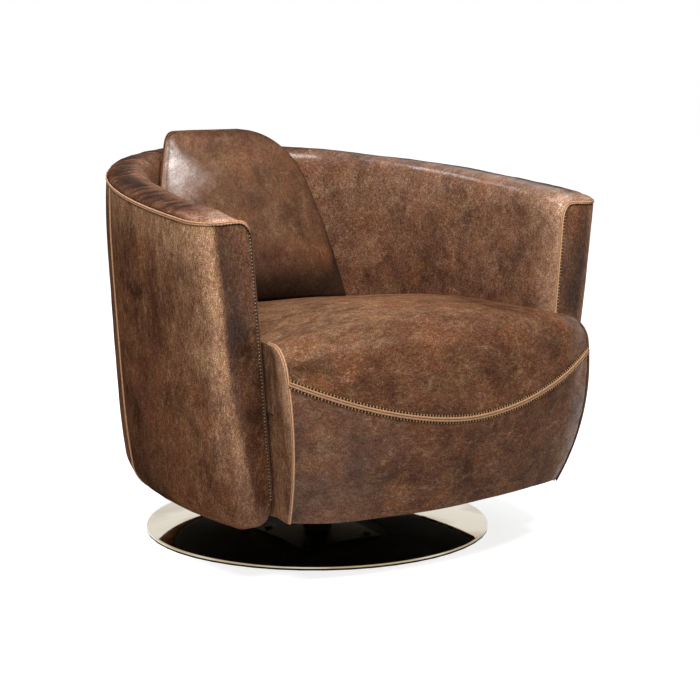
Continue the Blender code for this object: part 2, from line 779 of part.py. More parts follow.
def seat_shares(margin):
    turns = np.linspace(-90, 90, SEAT_STATIONS)
    even = np.linspace(-1, 1, SEAT_STATIONS)
    return share_inside(margin) * (np.sin(np.radians(turns)) + even) / 2


def face_rows(share, depth, high, low):
    return [(seat_face_y(share, z) + depth, z) for z in np.linspace(high, low, 5)]


def seat_top_grid(depth):
    grid = []
    for share in seat_shares(COVER_MARGIN):
        grid.append(seat_points(share, seat_rows(share, depth, seam_z(share) + WELT_HALF)))
    return np.array(grid)


def seat_front_grid(depth):
    """The leather below the curved seam, turned under the front rail."""
    grid = []
    for share in seat_shares(COVER_MARGIN):
        rows = face_rows(share, depth, seam_z(share) - WELT_HALF, SEAT_BOTTOM + depth)
        points = seat_points(share, rows)
        points.append((points[-1][0], RAIL_FRONT_END_Y - FRONT_RAIL_END / 2, SEAT_BOTTOM + depth))
        grid.append(points)
    return np.array(grid)


def seat_seam_grid(edge, middle):
    """The curved seam's piping."""
    grid = []
    for share in seat_shares(COVER_MARGIN):
        rows = []
        for step, depth in ((1, edge), (0, middle), (-1, edge)):
            z = seam_z(share) + step * WELT / 2
            rows.append((seat_face_y(share, z) + depth, z))
        grid.append(seat_points(share, rows))
    return np.array(grid)


def build_seat_covers():
    shell("seat_top_cover", seat_top_grid(0.0), seat_top_grid(LEATHER), "leather")
    shell("seat_front_cover", seat_front_grid(0.0), seat_front_grid(LEATHER), "leather")
    shell("seat_front_welt", seat_seam_grid(0.0, -WELT_PROUD), seat_seam_grid(LEATHER, LEATHER), "welt")


def border_grid(depth):
    """The leather on the seat's side, from its front edge to just behind the arm front."""
    stop = ARM_FRONT_Y + BORDER_TUCK
    grid = []
    for y, z in seat_rows(1.0, 0.0, SEAT_BOTTOM)[SEAT_TOP_ROWS:]:
        ys = y + (stop - y) * np.linspace(0, 1, 4)
        grid.append([(half_gap(v, z) - depth, v, z) for v in ys])
    return np.array(grid)


def side_welt_grid(edge, middle):
    """Piping between the seat's side leather and its front, down the rounded front edge."""
    grid = []
    for step, depth in ((0.0, edge), (0.5, middle), (1.0, edge)):
        share = share_inside(LEATHER + SEAM_FIT + step * WELT)
        grid.append(seat_points(share, seat_rows(share, depth, SEAT_BOTTOM)[SEAT_TOP_ROWS:]))
    return np.array(grid)


def build_seat_borders():
    borders = [border_grid(0.0), border_grid(LEATHER)]
    welts = [side_welt_grid(0.0, -WELT_PROUD), side_welt_grid(LEATHER, LEATHER)]
    shell("seat_border_right", *borders, "leather")
    shell("seat_border_left", *[mirrored(grid) for grid in borders], "leather")
    shell("seat_side_welt_right", *welts, "welt")
    shell("seat_side_welt_left", *[mirrored(grid) for grid in welts], "welt")


def build_seat_foam():
    """The seat's padding, over the webbing and down in front of the front rail."""
    low = SEAT_BOTTOM + FOAM_SKIN
    outer = []
    inner = []
    for share, even in zip(seat_shares(LEATHER + SEAM_FIT), seat_shares(0.0)):
        rows = seat_rows(share, FOAM_SKIN, low)
        outer.append(seat_points(share, rows))
        x = even * FRONT_RAIL_HALF
        face = front_rail_y(x) - FIT
        under = seat_points(share, [(y, SEAT_LOW) for y, _ in rows[:SEAT_TOP_ROWS]])
        drop = np.linspace(SEAT_LOW, low, len(rows) - SEAT_TOP_ROWS)
        inner.append(under + [(x, face, z) for z in drop])
    shell("seat_foam", np.array(outer), np.array(inner), "foam")


def pad_half(height, corner):
    """Half width of the back pad at a share of its height, with bowed sides and a rounded top corner."""
    half = PAD_FOOT_HALF + (PAD_TOP_HALF - PAD_FOOT_HALF) * height + PAD_SIDE_BOW * 4 * height * (1 - height)
    over = max(1 - (1 - height) * PAD_RISE / corner, 0.0)
    return half - corner * (1 - math.sqrt(1 - over * over))


def pad_foot_z(x, y):
    share = min(abs(x) / half_gap(y, SEAT_SIDE_HEIGHT), 1.0)
    return seat_top_z(share, y) + SEAM_FIT


def pad_point(share, height, depth):
    """A point of the pad's crowned front face, set back by a depth."""
    corner = PAD_CORNER_RIGHT if share > 0 else PAD_CORNER_LEFT
    x = share * (pad_half(height, corner) - depth) + PAD_TOP_SHIFT * height
    crown = PAD_BULGE * (1 - share * share) * (1 - (2 * height - 1) ** 4)
    y = PAD_FOOT_Y + (PAD_TOP_Y - PAD_FOOT_Y) * height - crown + depth
    foot = pad_foot_z(x, y)
    return np.array([x, y, foot + (PAD_TOP - depth - foot) * height])


def pad_back(front, height):
    """The point behind a front point, on the tub's inner face and nearer above the rim."""
    x, y, z = front
    level = min(z, rim_z(0.0) - KNEE_DROP - CREST_RISE)
    wall = back_wall_y(x, level) - PAD_WALL_GAP
    head = min(y + PAD_HEAD_THICK, wall)
    return np.array([x, wall + (head - wall) * max(height - 0.5, 0.0) * 2, z])


def pad_border(depth):
    """The band round the pad's sides and top, from behind its front leather to its back."""
    edge = [(-1.0, h) for h in PAD_ROWS[:-1]]
    edge += [(f, 1.0) for f in np.linspace(-1, 1, PAD_STATIONS)]
    edge += [(1.0, h) for h in PAD_ROWS[-2::-1]]
    grid = []
    for share, height in edge:
        near = pad_point(share, height, 0.0)
        point = pad_point(share, height, depth)
        back = pad_back(near, height)
        grid.append([(point[0], near[1] + SKIN, point[2]), (point[0], back[1], point[2])])
    return np.array(grid)


def build_back_pad():
    shares = np.linspace(-1, 1, PAD_STATIONS)
    grids = {}
    for depth in (0.0, LEATHER, FOAM_SKIN):
        grids[depth] = np.array([[pad_point(f, h, depth) for f in shares] for h in PAD_ROWS])
    shell("back_pad_front", grids[0.0], grids[LEATHER], "leather")
    face = grids[FOAM_SKIN]
    back = np.array([[pad_back(p, h) for p in row] for row, h in zip(face, PAD_ROWS)])
    shell("back_pad_foam", face, back, "foam")
    shell("back_pad_border", pad_border(0.0), pad_border(LEATHER), "leather")


def welt_path():
    """Points and facings from the right arm's foot, up beside the seat, over it and round to the back."""
    ahead = np.array([0.0, -1.0, 0.0])
    outline = inset(crest_outline(1.0), WELT_HALF)
    lowest = TUB_BOTTOM + BOTTOM_ROUND
    path = [(wall_point(1.0, wall_depth(1.0, lowest) - WELT_HALF, lowest), ahead)]
    path += [(wall_point(1.0, d, z), ahead) for d, z in outline[::-1] if d > ARM_CORNER + WELT]
    for share in (1.0, 0.75, 0.5, 0.25):
        turn = share * math.pi / 2
        s = station_of(ARM_FRONT_Y + ARM_CORNER * (1 - math.sin(turn)))
        point = wall_point(s, ARM_CORNER * (1 - math.cos(turn)), welt_z(s))
        facing = math.sin(turn) * ahead
        facing[:2] -= math.cos(turn) * rim_at(s)[1]
        path.append((point, facing))
    bend = station_of(ARM_FRONT_Y + ARM_CORNER)
    for s in [bend, *[s for s in frame_stations()[::-1] if 0 <= s < bend]]:
        path.append((wall_point(s, 0.0, rim_z(s)), np.array([*-rim_at(s)[1], 0.0])))
    return path


def build_rim_welt():
    half = welt_path()
    flip = np.array([-1.0, 1.0, 1.0])
    path = half + [(point * flip, out * flip) for point, out in half[-2::-1]]
    points = np.array([point for point, _ in path])
    sections = []
    for k, (point, out) in enumerate(path):
        along = points[min(k + 1, len(path) - 1)] - points[max(k - 1, 0)]
        along /= np.linalg.norm(along)
        out = out - along * out.dot(along)
        out /= np.linalg.norm(out)
        across = np.cross(along, out)
        turns = np.radians(np.arange(30, 390, 60))
        ring = [point + WELT / 2 * (math.cos(t) * out + math.sin(t) * across) for t in turns]
        sections.append(ring)
    sweep("rim_welt", np.array(sections), "welt")


def bolt(name, place, seat, tip):
    """A bolt whose head bears on one height and whose shank ends at another."""
    head = seat + math.copysign(BOLT_HEAD, seat - tip)
    profile = [
        (0.0, head),
        (BOLT_HEAD_RADIUS, head),
        (BOLT_HEAD_RADIUS, seat),
        (BOLT_RADIUS, seat),
        (BOLT_RADIUS, tip),
        (0.0, tip),
    ]
    made = turned(name, profile, "steel", BOLT_SIDES)
    made.data.transform(Matrix.Translation((*place, 0.0)))


def plate(name, radius, low, high, look):
    """A round plate on the swivel axis."""
    return turned(name, [(0.0, low), (radius, low), (radius, high), (0.0, high)], look, DISC_SIDES)


def build_base():
    high = BALLAST_LOW + BALLAST
    plate("floor_pad", DISC_RADIUS - FIT, 0.0, FLOOR_PAD, "rubber")
    ballast = plate("base_ballast", BALLAST_RADIUS, BALLAST_LOW, high, "steel")
    turns = [math.pi / 4 + k * math.pi / 2 for k in range(4)]
    places = [(FLANGE_BOLT_RADIUS * math.cos(t), FLANGE_BOLT_RADIUS * math.sin(t)) for t in turns]
    drill(ballast, places, BOLT_RADIUS + FIT, high - BOLT_BITE - FIT, high + FIT)
    build_disc()
    flange_top = FLANGE_LOW + FLANGE
    column = turned(
        "base_column",
        [
            (BORE_RADIUS, FLANGE_LOW),
            (FLANGE_RADIUS, FLANGE_LOW),
            (FLANGE_RADIUS, flange_top),
            (COLUMN_RADIUS, flange_top),
            (COLUMN_RADIUS, COLUMN_TOP),
            (BORE_RADIUS, COLUMN_TOP),
        ],
        "chrome",
    )
    drill(column, places, BOLT_RADIUS + FIT, FLANGE_LOW - FIT, flange_top + FIT)
    for k, place in enumerate(places):
        bolt(f"column_bolt_{k + 1}", place, flange_top + FIT, high - BOLT_BITE)
    outer = BORE_RADIUS * math.cos(math.pi / ROUND_SIDES) - FIT
    inner = (SPINDLE_RADIUS + FIT) / math.cos(math.pi / ROUND_SIDES)
    seat = COLUMN_TOP + FIT
    turned(
        "upper_bush",
        [
            (inner, COLUMN_TOP - BUSH_LENGTH),
            (outer, COLUMN_TOP - BUSH_LENGTH),
            (outer, seat),
            (COLUMN_RADIUS, seat),
            (COLUMN_RADIUS, seat + BUSH_COLLAR),
            (inner, seat + BUSH_COLLAR),
        ],
        "nylon",
    )
    low = FLANGE_LOW + LOWER_BUSH_LIFT
    turned(
        "lower_bush",
        [(inner, low), (outer, low), (outer, low + BUSH_LENGTH), (inner, low + BUSH_LENGTH)],
        "nylon",
    )


def build_disc():
    """The spun cover: a low dome with a rounded rim that stands on the floor pad."""
    hole = (COLUMN_RADIUS + FIT) / math.cos(math.pi / DISC_SIDES)
    rim = DISC_RADIUS - DISC_EDGE_ROUND

    def dome(radius):
        return DISC_EDGE_TOP + DISC_DOME * (1 - (radius / rim) ** 2)

    radii = np.linspace(hole, rim, 4)
    profile = [(r, dome(r)) for r in radii]
    for turn in np.radians([40, 90]):
        reach = DISC_EDGE_ROUND
        profile.append((rim + reach * math.sin(turn), DISC_EDGE_TOP - reach + reach * math.cos(turn)))
    profile.append((DISC_RADIUS, FLOOR_PAD + FIT))
    profile.append((DISC_RADIUS - DISC_SHEET, FLOOR_PAD + FIT))
    profile.append((DISC_RADIUS - DISC_SHEET, DISC_EDGE_TOP - DISC_EDGE_ROUND))
    profile += [(r, dome(r) - DISC_SHEET) for r in radii[::-1]]
    turned("base_disc", profile, "chrome", DISC_SIDES)


def build_swivel():
    low = FLANGE_LOW + LOWER_BUSH_LIFT - FIT - CLIP
    groove = SPINDLE_RADIUS - CLIP_DEPTH
    tip = low - CLIP
    collar_top = COLLAR_LOW + SPINDLE_COLLAR
    turned(
        "spindle",
        [
            (0.0, tip),
            (SPINDLE_RADIUS, tip),
            (SPINDLE_RADIUS, low - FIT),
            (groove, low - FIT),
            (groove, low + CLIP + FIT),
            (SPINDLE_RADIUS, low + CLIP + FIT),
            (SPINDLE_RADIUS, COLLAR_LOW),
            (SPINDLE_COLLAR_RADIUS, COLLAR_LOW),
            (SPINDLE_COLLAR_RADIUS, collar_top),
            (SPINDLE_RADIUS, collar_top),
            (SPINDLE_RADIUS, PLATE_LOW + PLATE),
            (0.0, PLATE_LOW + PLATE),
        ],
        "steel",
    )
    inner = (groove + FIT) / math.cos(math.pi / ROUND_SIDES)
    outer = inner + CLIP_WIDTH
    turned("retaining_clip", [(inner, low), (outer, low), (outer, low + CLIP), (inner, low + CLIP)], "steel")
    corner = (PLATE_HALF, PLATE_HALF, PLATE_LOW + PLATE)
    square = block("swivel_plate", (-PLATE_HALF, -PLATE_HALF, PLATE_LOW), corner, "steel")
    reach = PLATE_BOLT_X
    places = [(x, y) for x in (-reach, reach) for y in (-reach, reach)]
    past = PLATE_LOW + PLATE + FIT
    bore = (SPINDLE_RADIUS + FIT) / math.cos(math.pi / HOLE_SIDES)
    drill(square, [(0.0, 0.0)], bore, PLATE_LOW - FIT, past)
    drill(square, places, BOLT_RADIUS + FIT, PLATE_LOW - FIT, past)
    for k, place in enumerate(places):
        bolt(f"plate_bolt_{k + 1}", place, PLATE_LOW - FIT, BOARD_LOW + BOLT_BITE)


clear_scene()
LOOKS = {
    "leather": make_material("leather", (0.10, 0.045, 0.022), 0.0, 0.45),
    "welt": make_material("welt", (0.42, 0.20, 0.10), 0.0, 0.6),
    "foam": make_material("foam", (0.75, 0.70, 0.55), 0.0, 0.9),
    "plywood": make_material("plywood", (0.55, 0.38, 0.22), 0.0, 0.7),
    "hardwood": make_material("hardwood", (0.45, 0.28, 0.15), 0.0, 0.6),
    "webbing": make_material("webbing", (0.06, 0.06, 0.06), 0.0, 0.9),
    "cloth": make_material("cloth", (0.02, 0.02, 0.02), 0.0, 0.95),
    "chrome": make_material("chrome", (0.80, 0.80, 0.80), 1.0, 0.05),
    "steel": make_material("steel", (0.45, 0.45, 0.47), 1.0, 0.35),
    "nylon": make_material("nylon", (0.80, 0.80, 0.78), 0.0, 0.5),
    "rubber": make_material("rubber", (0.03, 0.03, 0.03), 0.0, 0.9),
}
build_base()
build_swivel()
build_bottom()
build_tub_frame()
build_seat_frame()
build_tub_foam()
build_arm_front_foam()
build_outer_covers()
build_inner_cover()
build_rim_welt()
build_seat_foam()
build_seat_covers()
build_seat_borders()
build_back_pad()
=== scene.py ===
import json

import bmesh
import bpy
import numpy as np
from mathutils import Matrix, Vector


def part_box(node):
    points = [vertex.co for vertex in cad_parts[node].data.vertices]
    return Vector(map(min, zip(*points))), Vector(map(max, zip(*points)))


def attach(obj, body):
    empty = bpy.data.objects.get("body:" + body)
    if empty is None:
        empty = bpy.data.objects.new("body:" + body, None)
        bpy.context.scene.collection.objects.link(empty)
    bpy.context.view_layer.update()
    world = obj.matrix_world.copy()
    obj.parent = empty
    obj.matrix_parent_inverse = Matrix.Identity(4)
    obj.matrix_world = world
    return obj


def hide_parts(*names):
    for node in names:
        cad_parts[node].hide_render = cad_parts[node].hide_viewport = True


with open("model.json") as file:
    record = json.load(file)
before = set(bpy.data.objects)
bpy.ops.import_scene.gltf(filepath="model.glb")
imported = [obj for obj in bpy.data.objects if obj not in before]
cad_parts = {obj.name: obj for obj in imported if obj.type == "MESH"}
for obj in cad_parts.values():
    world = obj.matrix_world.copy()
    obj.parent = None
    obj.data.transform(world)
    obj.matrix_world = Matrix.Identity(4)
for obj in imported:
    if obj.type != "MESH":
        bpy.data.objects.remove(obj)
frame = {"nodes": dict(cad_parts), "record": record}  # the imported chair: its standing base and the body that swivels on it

scene = bpy.context.scene
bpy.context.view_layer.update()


# Small tools for arrays and meshes

def unit(vectors):
    return vectors / np.linalg.norm(vectors, axis=-1, keepdims=True)


def ease(share):  # 0 to 1 with flat ends: 3t2 - 2t3
    t = np.clip(share, 0, 1)
    return t * t * (3 - 2 * t)


def mirror(sign):  # -1 turns the right side's points into the left side's
    return np.array([sign, 1.0, 1.0])


def ramp(value, start, full):  # eased from 0 at the start to 1 where it is full
    return ease((value - start) / (full - start))


def bell(value, middle, width):  # 1 in the middle and falling on both sides: e to minus the squared share
    return np.exp(-((value - middle) / width) ** 2)


# rolling noise from -1 to 1: the mean of sine waves that run in seeded directions
def waves(points, length, seed, count=9):
    dice = np.random.default_rng(seed)
    ways = unit(dice.normal(size=(count, 3))) * (2 * np.pi / length * dice.uniform(0.6, 1.7, count))[:, None]
    return np.sin(points @ ways.T + dice.uniform(0, 2 * np.pi, count)).mean(-1) * 1.9


# normals of a grid of points: the cross product of its two directions, turned to the side it faces
def gridNormals(grid, facing):
    normals = np.cross(np.gradient(grid, axis=0), np.gradient(grid, axis=1))
    normals = unit(normals)
    middle = normals[grid.shape[0] // 2, grid.shape[1] // 2]
    return normals if middle @ np.array(facing) > 0 else -normals


# running lengths over a grid, as metres from its first and last row and its first and last column
def edgeDistances(grid):
    down = np.linalg.norm(np.diff(grid, axis=0), axis=-1).cumsum(0)
    down = np.concatenate([np.zeros((1, grid.shape[1])), down])
    over = np.linalg.norm(np.diff(grid, axis=1), axis=-1).cumsum(1)
    over = np.concatenate([np.zeros((grid.shape[0], 1)), over], 1)
    return down, down[-1:] - down, over, over[:, -1:] - over


def gridIndex(grid):
    return np.arange(grid.shape[0] * grid.shape[1]).reshape(grid.shape[:2])


def gridQuads(index):
    return np.stack([index[:-1, :-1], index[:-1, 1:], index[1:, 1:], index[1:, :-1]], -1).reshape(-1, 4)


def gridBorder(index):  # once round the edge of a grid
    return np.concatenate([index[0, :-1], index[:-1, -1], index[-1, :0:-1], index[:0:-1, 0]])


def loopStrip(first, second):  # quads between two closed loops
    return np.stack([first, np.roll(first, -1), np.roll(second, -1), second], -1)


def tubeFaces(rings):  # quads round each pair of rings, and a face at each end
    index = gridIndex(rings)
    around = gridQuads(np.concatenate([index, index[:, :1]], 1)).tolist()
    return around + [index[0].tolist(), index[-1, ::-1].tolist()]


def makePiece(name, points, faces, material, body, replaced=(), marks=None):
    mesh = bpy.data.meshes.new(name)
    mesh.from_pydata(np.asarray(points).reshape(-1, 3).tolist(), [], faces)
    for label, values in (marks or {}).items():  # what the shaders read: seam, wear with painted light and shade, and shine
        layer = mesh.attributes.new(label, "FLOAT", "POINT")
        layer.data.foreach_set("value", np.asarray(values, np.float32).ravel())
    shape = bmesh.new()
    shape.from_mesh(mesh)
    bmesh.ops.recalc_face_normals(shape, faces=shape.faces[:])
    if shape.calc_volume(signed=True) < 0:
        bmesh.ops.reverse_faces(shape, faces=shape.faces[:])
    shape.to_mesh(mesh)
    shape.free()
    mesh.shade_smooth()
    mesh.materials.append(materials[material])
    made = bpy.data.objects.new(name, mesh)
    scene.collection.objects.link(made)
    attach(made, body)
    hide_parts(*replaced)
    return made


# a sheet of leather: the grid, the same grid one thickness deeper, and a strip round the edge
def leatherSheet(name, grid, facing, material, replaced, marks):
    inner = grid - gridNormals(grid, facing) * leather["thick"]
    index = gridIndex(grid)
    rim = gridBorder(index)
    quads = gridQuads(index)
    strip = loopStrip(rim, rim + index.size)
    faces = np.concatenate([quads, quads[:, ::-1] + index.size, strip[:, ::-1]]).tolist()
    points = np.concatenate([grid.reshape(-1, 3), inner.reshape(-1, 3)])
    both = {label: np.tile(values.ravel(), 2) for label, values in marks.items()}
    return makePiece(name, points, faces, material, "chair", replaced, both)


# how leather lies between its seams: it dips at a sewn edge, puckers beside it and rolls softly further off; the seam
# mark it returns paints shade in a narrow band beside each sewn edge
lay = {"clear": 0.003, "calm": 0.03, "longRoll": 0.19, "shortRoll": 0.06, "shortShare": 0.4, "seamShadeWidth": 0.004}


def upholster(grid, facing, sewn, seed, settings):
    near = np.minimum.reduce(sewn)
    dip = -settings["dip"] * bell(near, 0, settings["dipWidth"])
    beside = np.exp(-near / settings["puckerReach"]) * (1 - bell(near, 0, lay["clear"]))
    pucker = settings["pucker"] * beside * waves(grid, settings["puckerLength"], seed)
    rolling = waves(grid, lay["longRoll"], seed + 1) + lay["shortShare"] * waves(grid, lay["shortRoll"], seed + 2)
    roll = settings["roll"] * ramp(near, 0, lay["calm"]) * rolling
    moved = grid + gridNormals(grid, facing) * (dip + pucker + roll)[..., None]
    # the seam mark: painted shade beside the sewn edges
    return moved, {"seam": bell(near, 0, lay["seamShadeWidth"])}


# even points along a path, with their outward directions
def evenPath(points, outs, spacing):
    far = np.concatenate([[0], np.linalg.norm(np.diff(points, axis=0), axis=1).cumsum()])
    keep = np.concatenate([[True], np.diff(far) > 1e-7])
    at = np.linspace(0, far[-1], int(far[-1] / spacing) + 2)
    path = np.stack([np.interp(at, far[keep], points[keep, k]) for k in range(3)], -1)
    out = unit(np.stack([np.interp(at, far[keep], outs[keep, k]) for k in range(3)], -1))
    along = unit(np.gradient(path, axis=0))
    out = unit(out - along * (out * along).sum(-1, keepdims=True))
    return path, out, np.cross(along, out)


# a raw edge: a closed profile of (across, out) carried along a path; the tint is how dull the edge is at each point
edgeLook = {"spacing": 0.004, "grooveWidth": 0.0006, "grooveShade": 0.9}


def carryLip(name, points, outs, shape, replaced=(), tint=None, thin=0.0):
    path, out, across = evenPath(points, outs, edgeLook["spacing"])
    profile = np.array(lipProfile(*shape))
    dull = np.zeros(len(path)) if tint is None else tint(path)
    girth = 1 - thin * dull  # a dull edge may be thinner
    rings = path[:, None] + profile[None] @ np.stack([across, out], 1) * girth[:, None, None]
    groove = bell(profile[:, 0], 0, edgeLook["grooveWidth"]) * (profile[:, 1] > 0)  # painted shade in the groove between the two edges
    dull = np.maximum(groove * edgeLook["grooveShade"], dull[:, None])
    return makePiece(name, rings, tubeFaces(rings), "rawEdge", "chair", replaced, {"seam": dull})


# short threads across a seam: a capsule of a few rings, copied to even places on the path
capsule = {"places": (-0.5, -0.32, 0.32, 0.5), "girths": (0.35, 1.0, 1.0, 0.35), "sides": 6}


def stitchRow(points, outs, offset, settings):
    path, out, across = (values[settings["phase"]::2] for values in evenPath(points, outs, settings["pitch"] / 2))
    turn = np.linspace(0, 2 * np.pi, capsule["sides"], endpoint=False)
    rings = []
    for place, girth in zip(capsule["places"], capsule["girths"]):
        thick = settings["thick"] * girth
        bow = settings["bow"] * (1 - (2 * place) ** 2)
        ring = [np.full_like(turn, place * settings["long"]), thick * np.cos(turn), bow + thick * np.sin(turn)]
        rings.append(np.stack(ring, -1))
    shape = np.concatenate(rings)
    middle = path + across * offset + out * settings["lift"]
    side = unit(across + np.cross(out, across) * settings["slant"])
    threads = middle[:, None] + shape @ np.stack([side, np.cross(out, side), out], 1)
    faces = tubeFaces(np.array(rings))
    return threads.reshape(-1, 3), [[v + len(shape) * k for v in face] for k in range(len(path)) for face in faces]


def stitchObject(name, rows, settings, material):
    points = np.zeros((0, 3))
    faces = []
    for path, outs, offset in rows:
        made, quads = stitchRow(path, outs, offset, settings)
        faces += [[v + len(points) for v in quad] for quad in quads]
        points = np.concatenate([points, made])
    return makePiece(name, points, faces, material, "chair")


# Shader tools

def feed(tree, node, feeds):  # each value is a link from another socket or a plain one
    for key, value in dict(feeds).items():
        if isinstance(value, bpy.types.NodeSocket):
            tree.links.new(value, node.inputs[key])
        else:
            node.inputs[key].default_value = value


def put(tree, kind, feeds=(), **settings):
    node = tree.nodes.new(kind)
    for key, value in settings.items():
        setattr(node, key, value)
    feed(tree, node, feeds)
    return node


def calc(tree, operation, first, second=0.0, third=0.0):
    return put(tree, "ShaderNodeMath", {0: first, 1: second, 2: third}, operation=operation).outputs[0]


def bumped(tree, height, strength, distance):
    feeds = {"Strength": strength, "Distance": distance, "Height": height}
    return put(tree, "ShaderNodeBump", feeds).outputs[0]


def attribute(tree, label):
    return put(tree, "ShaderNodeAttribute", attribute_name=label).outputs["Fac"]


def mixColour(tree, factor, first, second, blend="MIX"):
    node = put(tree, "ShaderNodeMix", {0: factor, 6: first, 7: second}, data_type="RGBA", blend_type=blend)
    return node.outputs[2]


def band(tree, value, low, high, toLow=0.0, toHigh=1.0):  # a smooth step between two values
    feeds = {"Value": value, "From Min": low, "From Max": high, "To Min": toLow, "To Max": toHigh}
    return put(tree, "ShaderNodeMapRange", feeds, interpolation_type="SMOOTHSTEP").outputs["Result"]


def noise(tree, vector, scale, detail=3.0, roughness=0.55, swirl=0.0):
    feeds = {"Vector": vector, "Scale": scale, "Detail": detail, "Roughness": roughness, "Distortion": swirl}
    return put(tree, "ShaderNodeTexNoise", feeds).outputs["Fac"]


def newGroup(name, inputs, outputs):
    tree = bpy.data.node_groups.new(name, "ShaderNodeTree")
    for label, kind, value in inputs:
        socket = tree.interface.new_socket(name=label, in_out="INPUT", socket_type="NodeSocket" + kind)
        if value is not None:
            socket.default_value = value
    for label, kind in outputs:
        tree.interface.new_socket(name=label, in_out="OUTPUT", socket_type="NodeSocket" + kind)
    return tree, put(tree, "NodeGroupInput").outputs, put(tree, "NodeGroupOutput")


def newMaterial(name, **sockets):  # plain values go straight on the shader's own sockets
    made = bpy.data.materials.new(name)
    made.use_nodes = True
    tree = made.node_tree
    shader = tree.nodes["Principled BSDF"]
    for key, value in sockets.items():
        shader.inputs[key.replace("_", " ")].default_value = value
    return made, tree, shader, put(tree, "ShaderNodeTexCoord").outputs["Object"]


def rgb(red, green, blue):
    return (red, green, blue, 1.0)


# Waxed hide: patches of dark and mid brown, clouds of olive, plum and rust, pale marbling and scratches, fibres
# that swirl but mostly run one way, and fine specks; the wear mark above 0 pales the hide and below 0 darkens it, and
# it carries painted highlights and painted shade as well as wear
hideColours = {
    "Dark": rgb(0.044, 0.019, 0.012), "Middle": rgb(0.114, 0.052, 0.031), "Rust": rgb(0.165, 0.068, 0.034),
    "Olive": rgb(0.124, 0.069, 0.037), "Plum": rgb(0.098, 0.042, 0.031), "Pale": rgb(0.33, 0.20, 0.130),
}
hideClouds = {"Olive": ((1.3, 7.1, 2.9), 21.0), "Plum": ((6.1, 2.3, 8.7), 26.0), "Rust": ((3.7, 1.9, 5.3), 13.0)}
hideNoise = {  # scale, detail, roughness and swirl
    "scuff": (44.0, 6.0, 0.70, 0.8), "ridge": (15.0, 5.0, 0.62, 0.5), "hue": (75.0, 3.0, 0.7),
    "hair": (120.0, 3.0, 0.6, 1.0), "fibre": (280.0, 3.0, 0.8, 0.5), "speck": (700.0, 1.0, 0.6),
}
hideBands = {  # where a smooth step begins and ends, and its two values
    "patch": (0.32, 0.60), "cloud": (0.47, 0.70, 0.0, 0.75), "scuff": (0.48, 0.76), "toned": (0.36, 0.62, 0.24, 0.54),
    "line": (0.0, 0.010, 1.0, 0.0), "lined": (0.50, 0.62, 0.0, 0.45), "dark": (0.0, -1.0, 0.0, 0.87),
    "hue": (0.36, 0.64), "hair": (0.055, -0.04), "fibre": (0.34, 0.66), "speck": (0.34, 0.66),
}
hideTints = {"dark": rgb(0.023, 0.0135, 0.0100), "red": rgb(1.025, 0.965, 1.035), "green": rgb(0.98, 1.035, 0.96)}
hideReach = {"hair": 0.27, "fibre": 0.30, "speck": 0.46}  # how far the fine patterns darken and lighten
channelReach = (1.0, 1.4, 1.9)  # further in green and blue


def buildHideGroup():
    inputs = [("Vector", "Vector", None), ("Fibre Vector", "Vector", None)]
    inputs += [(label, "Color", colour) for label, colour in hideColours.items()]
    inputs += [(label, "Float", 0.0) for label in ("Patch Scale", "Scuff", "Fibre", "Wear And Painted Light")]
    tree, given, out = newGroup("waxedHide", inputs, [("Color", "Color"), ("Worn", "Float")])

    def moved(place):
        return put(tree, "ShaderNodeVectorMath", {0: given["Vector"], 1: place}, operation="ADD").outputs[0]

    def pattern(key, vector):
        return noise(tree, vector, *hideNoise[key])

    def step(key, value):
        return band(tree, value, *hideBands[key])

    def lines(key, vector):  # 0 along winding lines
        return calc(tree, "ABSOLUTE", calc(tree, "SUBTRACT", pattern(key, vector), 0.5))

    patch = noise(tree, given["Vector"], given["Patch Scale"], 5.0, 0.6)
    colour = mixColour(tree, step("patch", patch), given["Dark"], given["Middle"])
    for label, (place, scale) in hideClouds.items():
        cloud = noise(tree, moved(place), scale, 5.0, 0.64)
        colour = mixColour(tree, step("cloud", cloud), colour, given[label])
    scuff = pattern("scuff", given["Fibre Vector"])
    worn = calc(tree, "MULTIPLY", step("scuff", calc(tree, "MULTIPLY_ADD", given["Wear And Painted Light"], 0.06, scuff)), given["Scuff"])
    # the wear mark above 0 pales the hide: wear, painted highlights and painted sheen
    toned = calc(tree, "MULTIPLY", calc(tree, "MAXIMUM", given["Wear And Painted Light"]), step("toned", scuff))
    ridge = lines("ridge", moved(hideClouds["Rust"][0]))
    scratch = calc(tree, "MULTIPLY", step("line", ridge), step("lined", cloud))
    for share in (worn, toned, scratch):
        colour = mixColour(tree, share, colour, given["Pale"])
    # the wear mark below 0 darkens the hide: painted shade and darker places
    colour = mixColour(tree, step("dark", given["Wear And Painted Light"]), colour, hideTints["dark"])
    tint = mixColour(tree, step("hue", pattern("hue", moved((9.1, 4.3, 1.7)))), hideTints["red"], hideTints["green"])
    colour = mixColour(tree, 1.0, colour, tint, "MULTIPLY")
    fine = {"hair": lines("hair", given["Fibre Vector"])}
    fine |= {"fibre": pattern("fibre", given["Fibre Vector"]), "speck": pattern("speck", given["Vector"])}
    for key, value in fine.items():
        dark, light = (rgb(*(1 + sign * hideReach[key] * part for part in channelReach)) for sign in (-1, 1))
        colour = mixColour(tree, given["Fibre"], colour, mixColour(tree, step(key, value), dark, light), "MULTIPLY")
    feed(tree, out, {"Color": colour, "Worn": worn})
    return tree


# Hide grain as a height: pebbles of a millimetre or two, shallow creases and fine fibres
grain = {
    "pebble": 430.0, "pebbleShare": 0.35, "crease": (95.0, 6.0, 0.66), "fibre": (260.0, 3.0, 0.6), "fibreShare": 0.6,
}


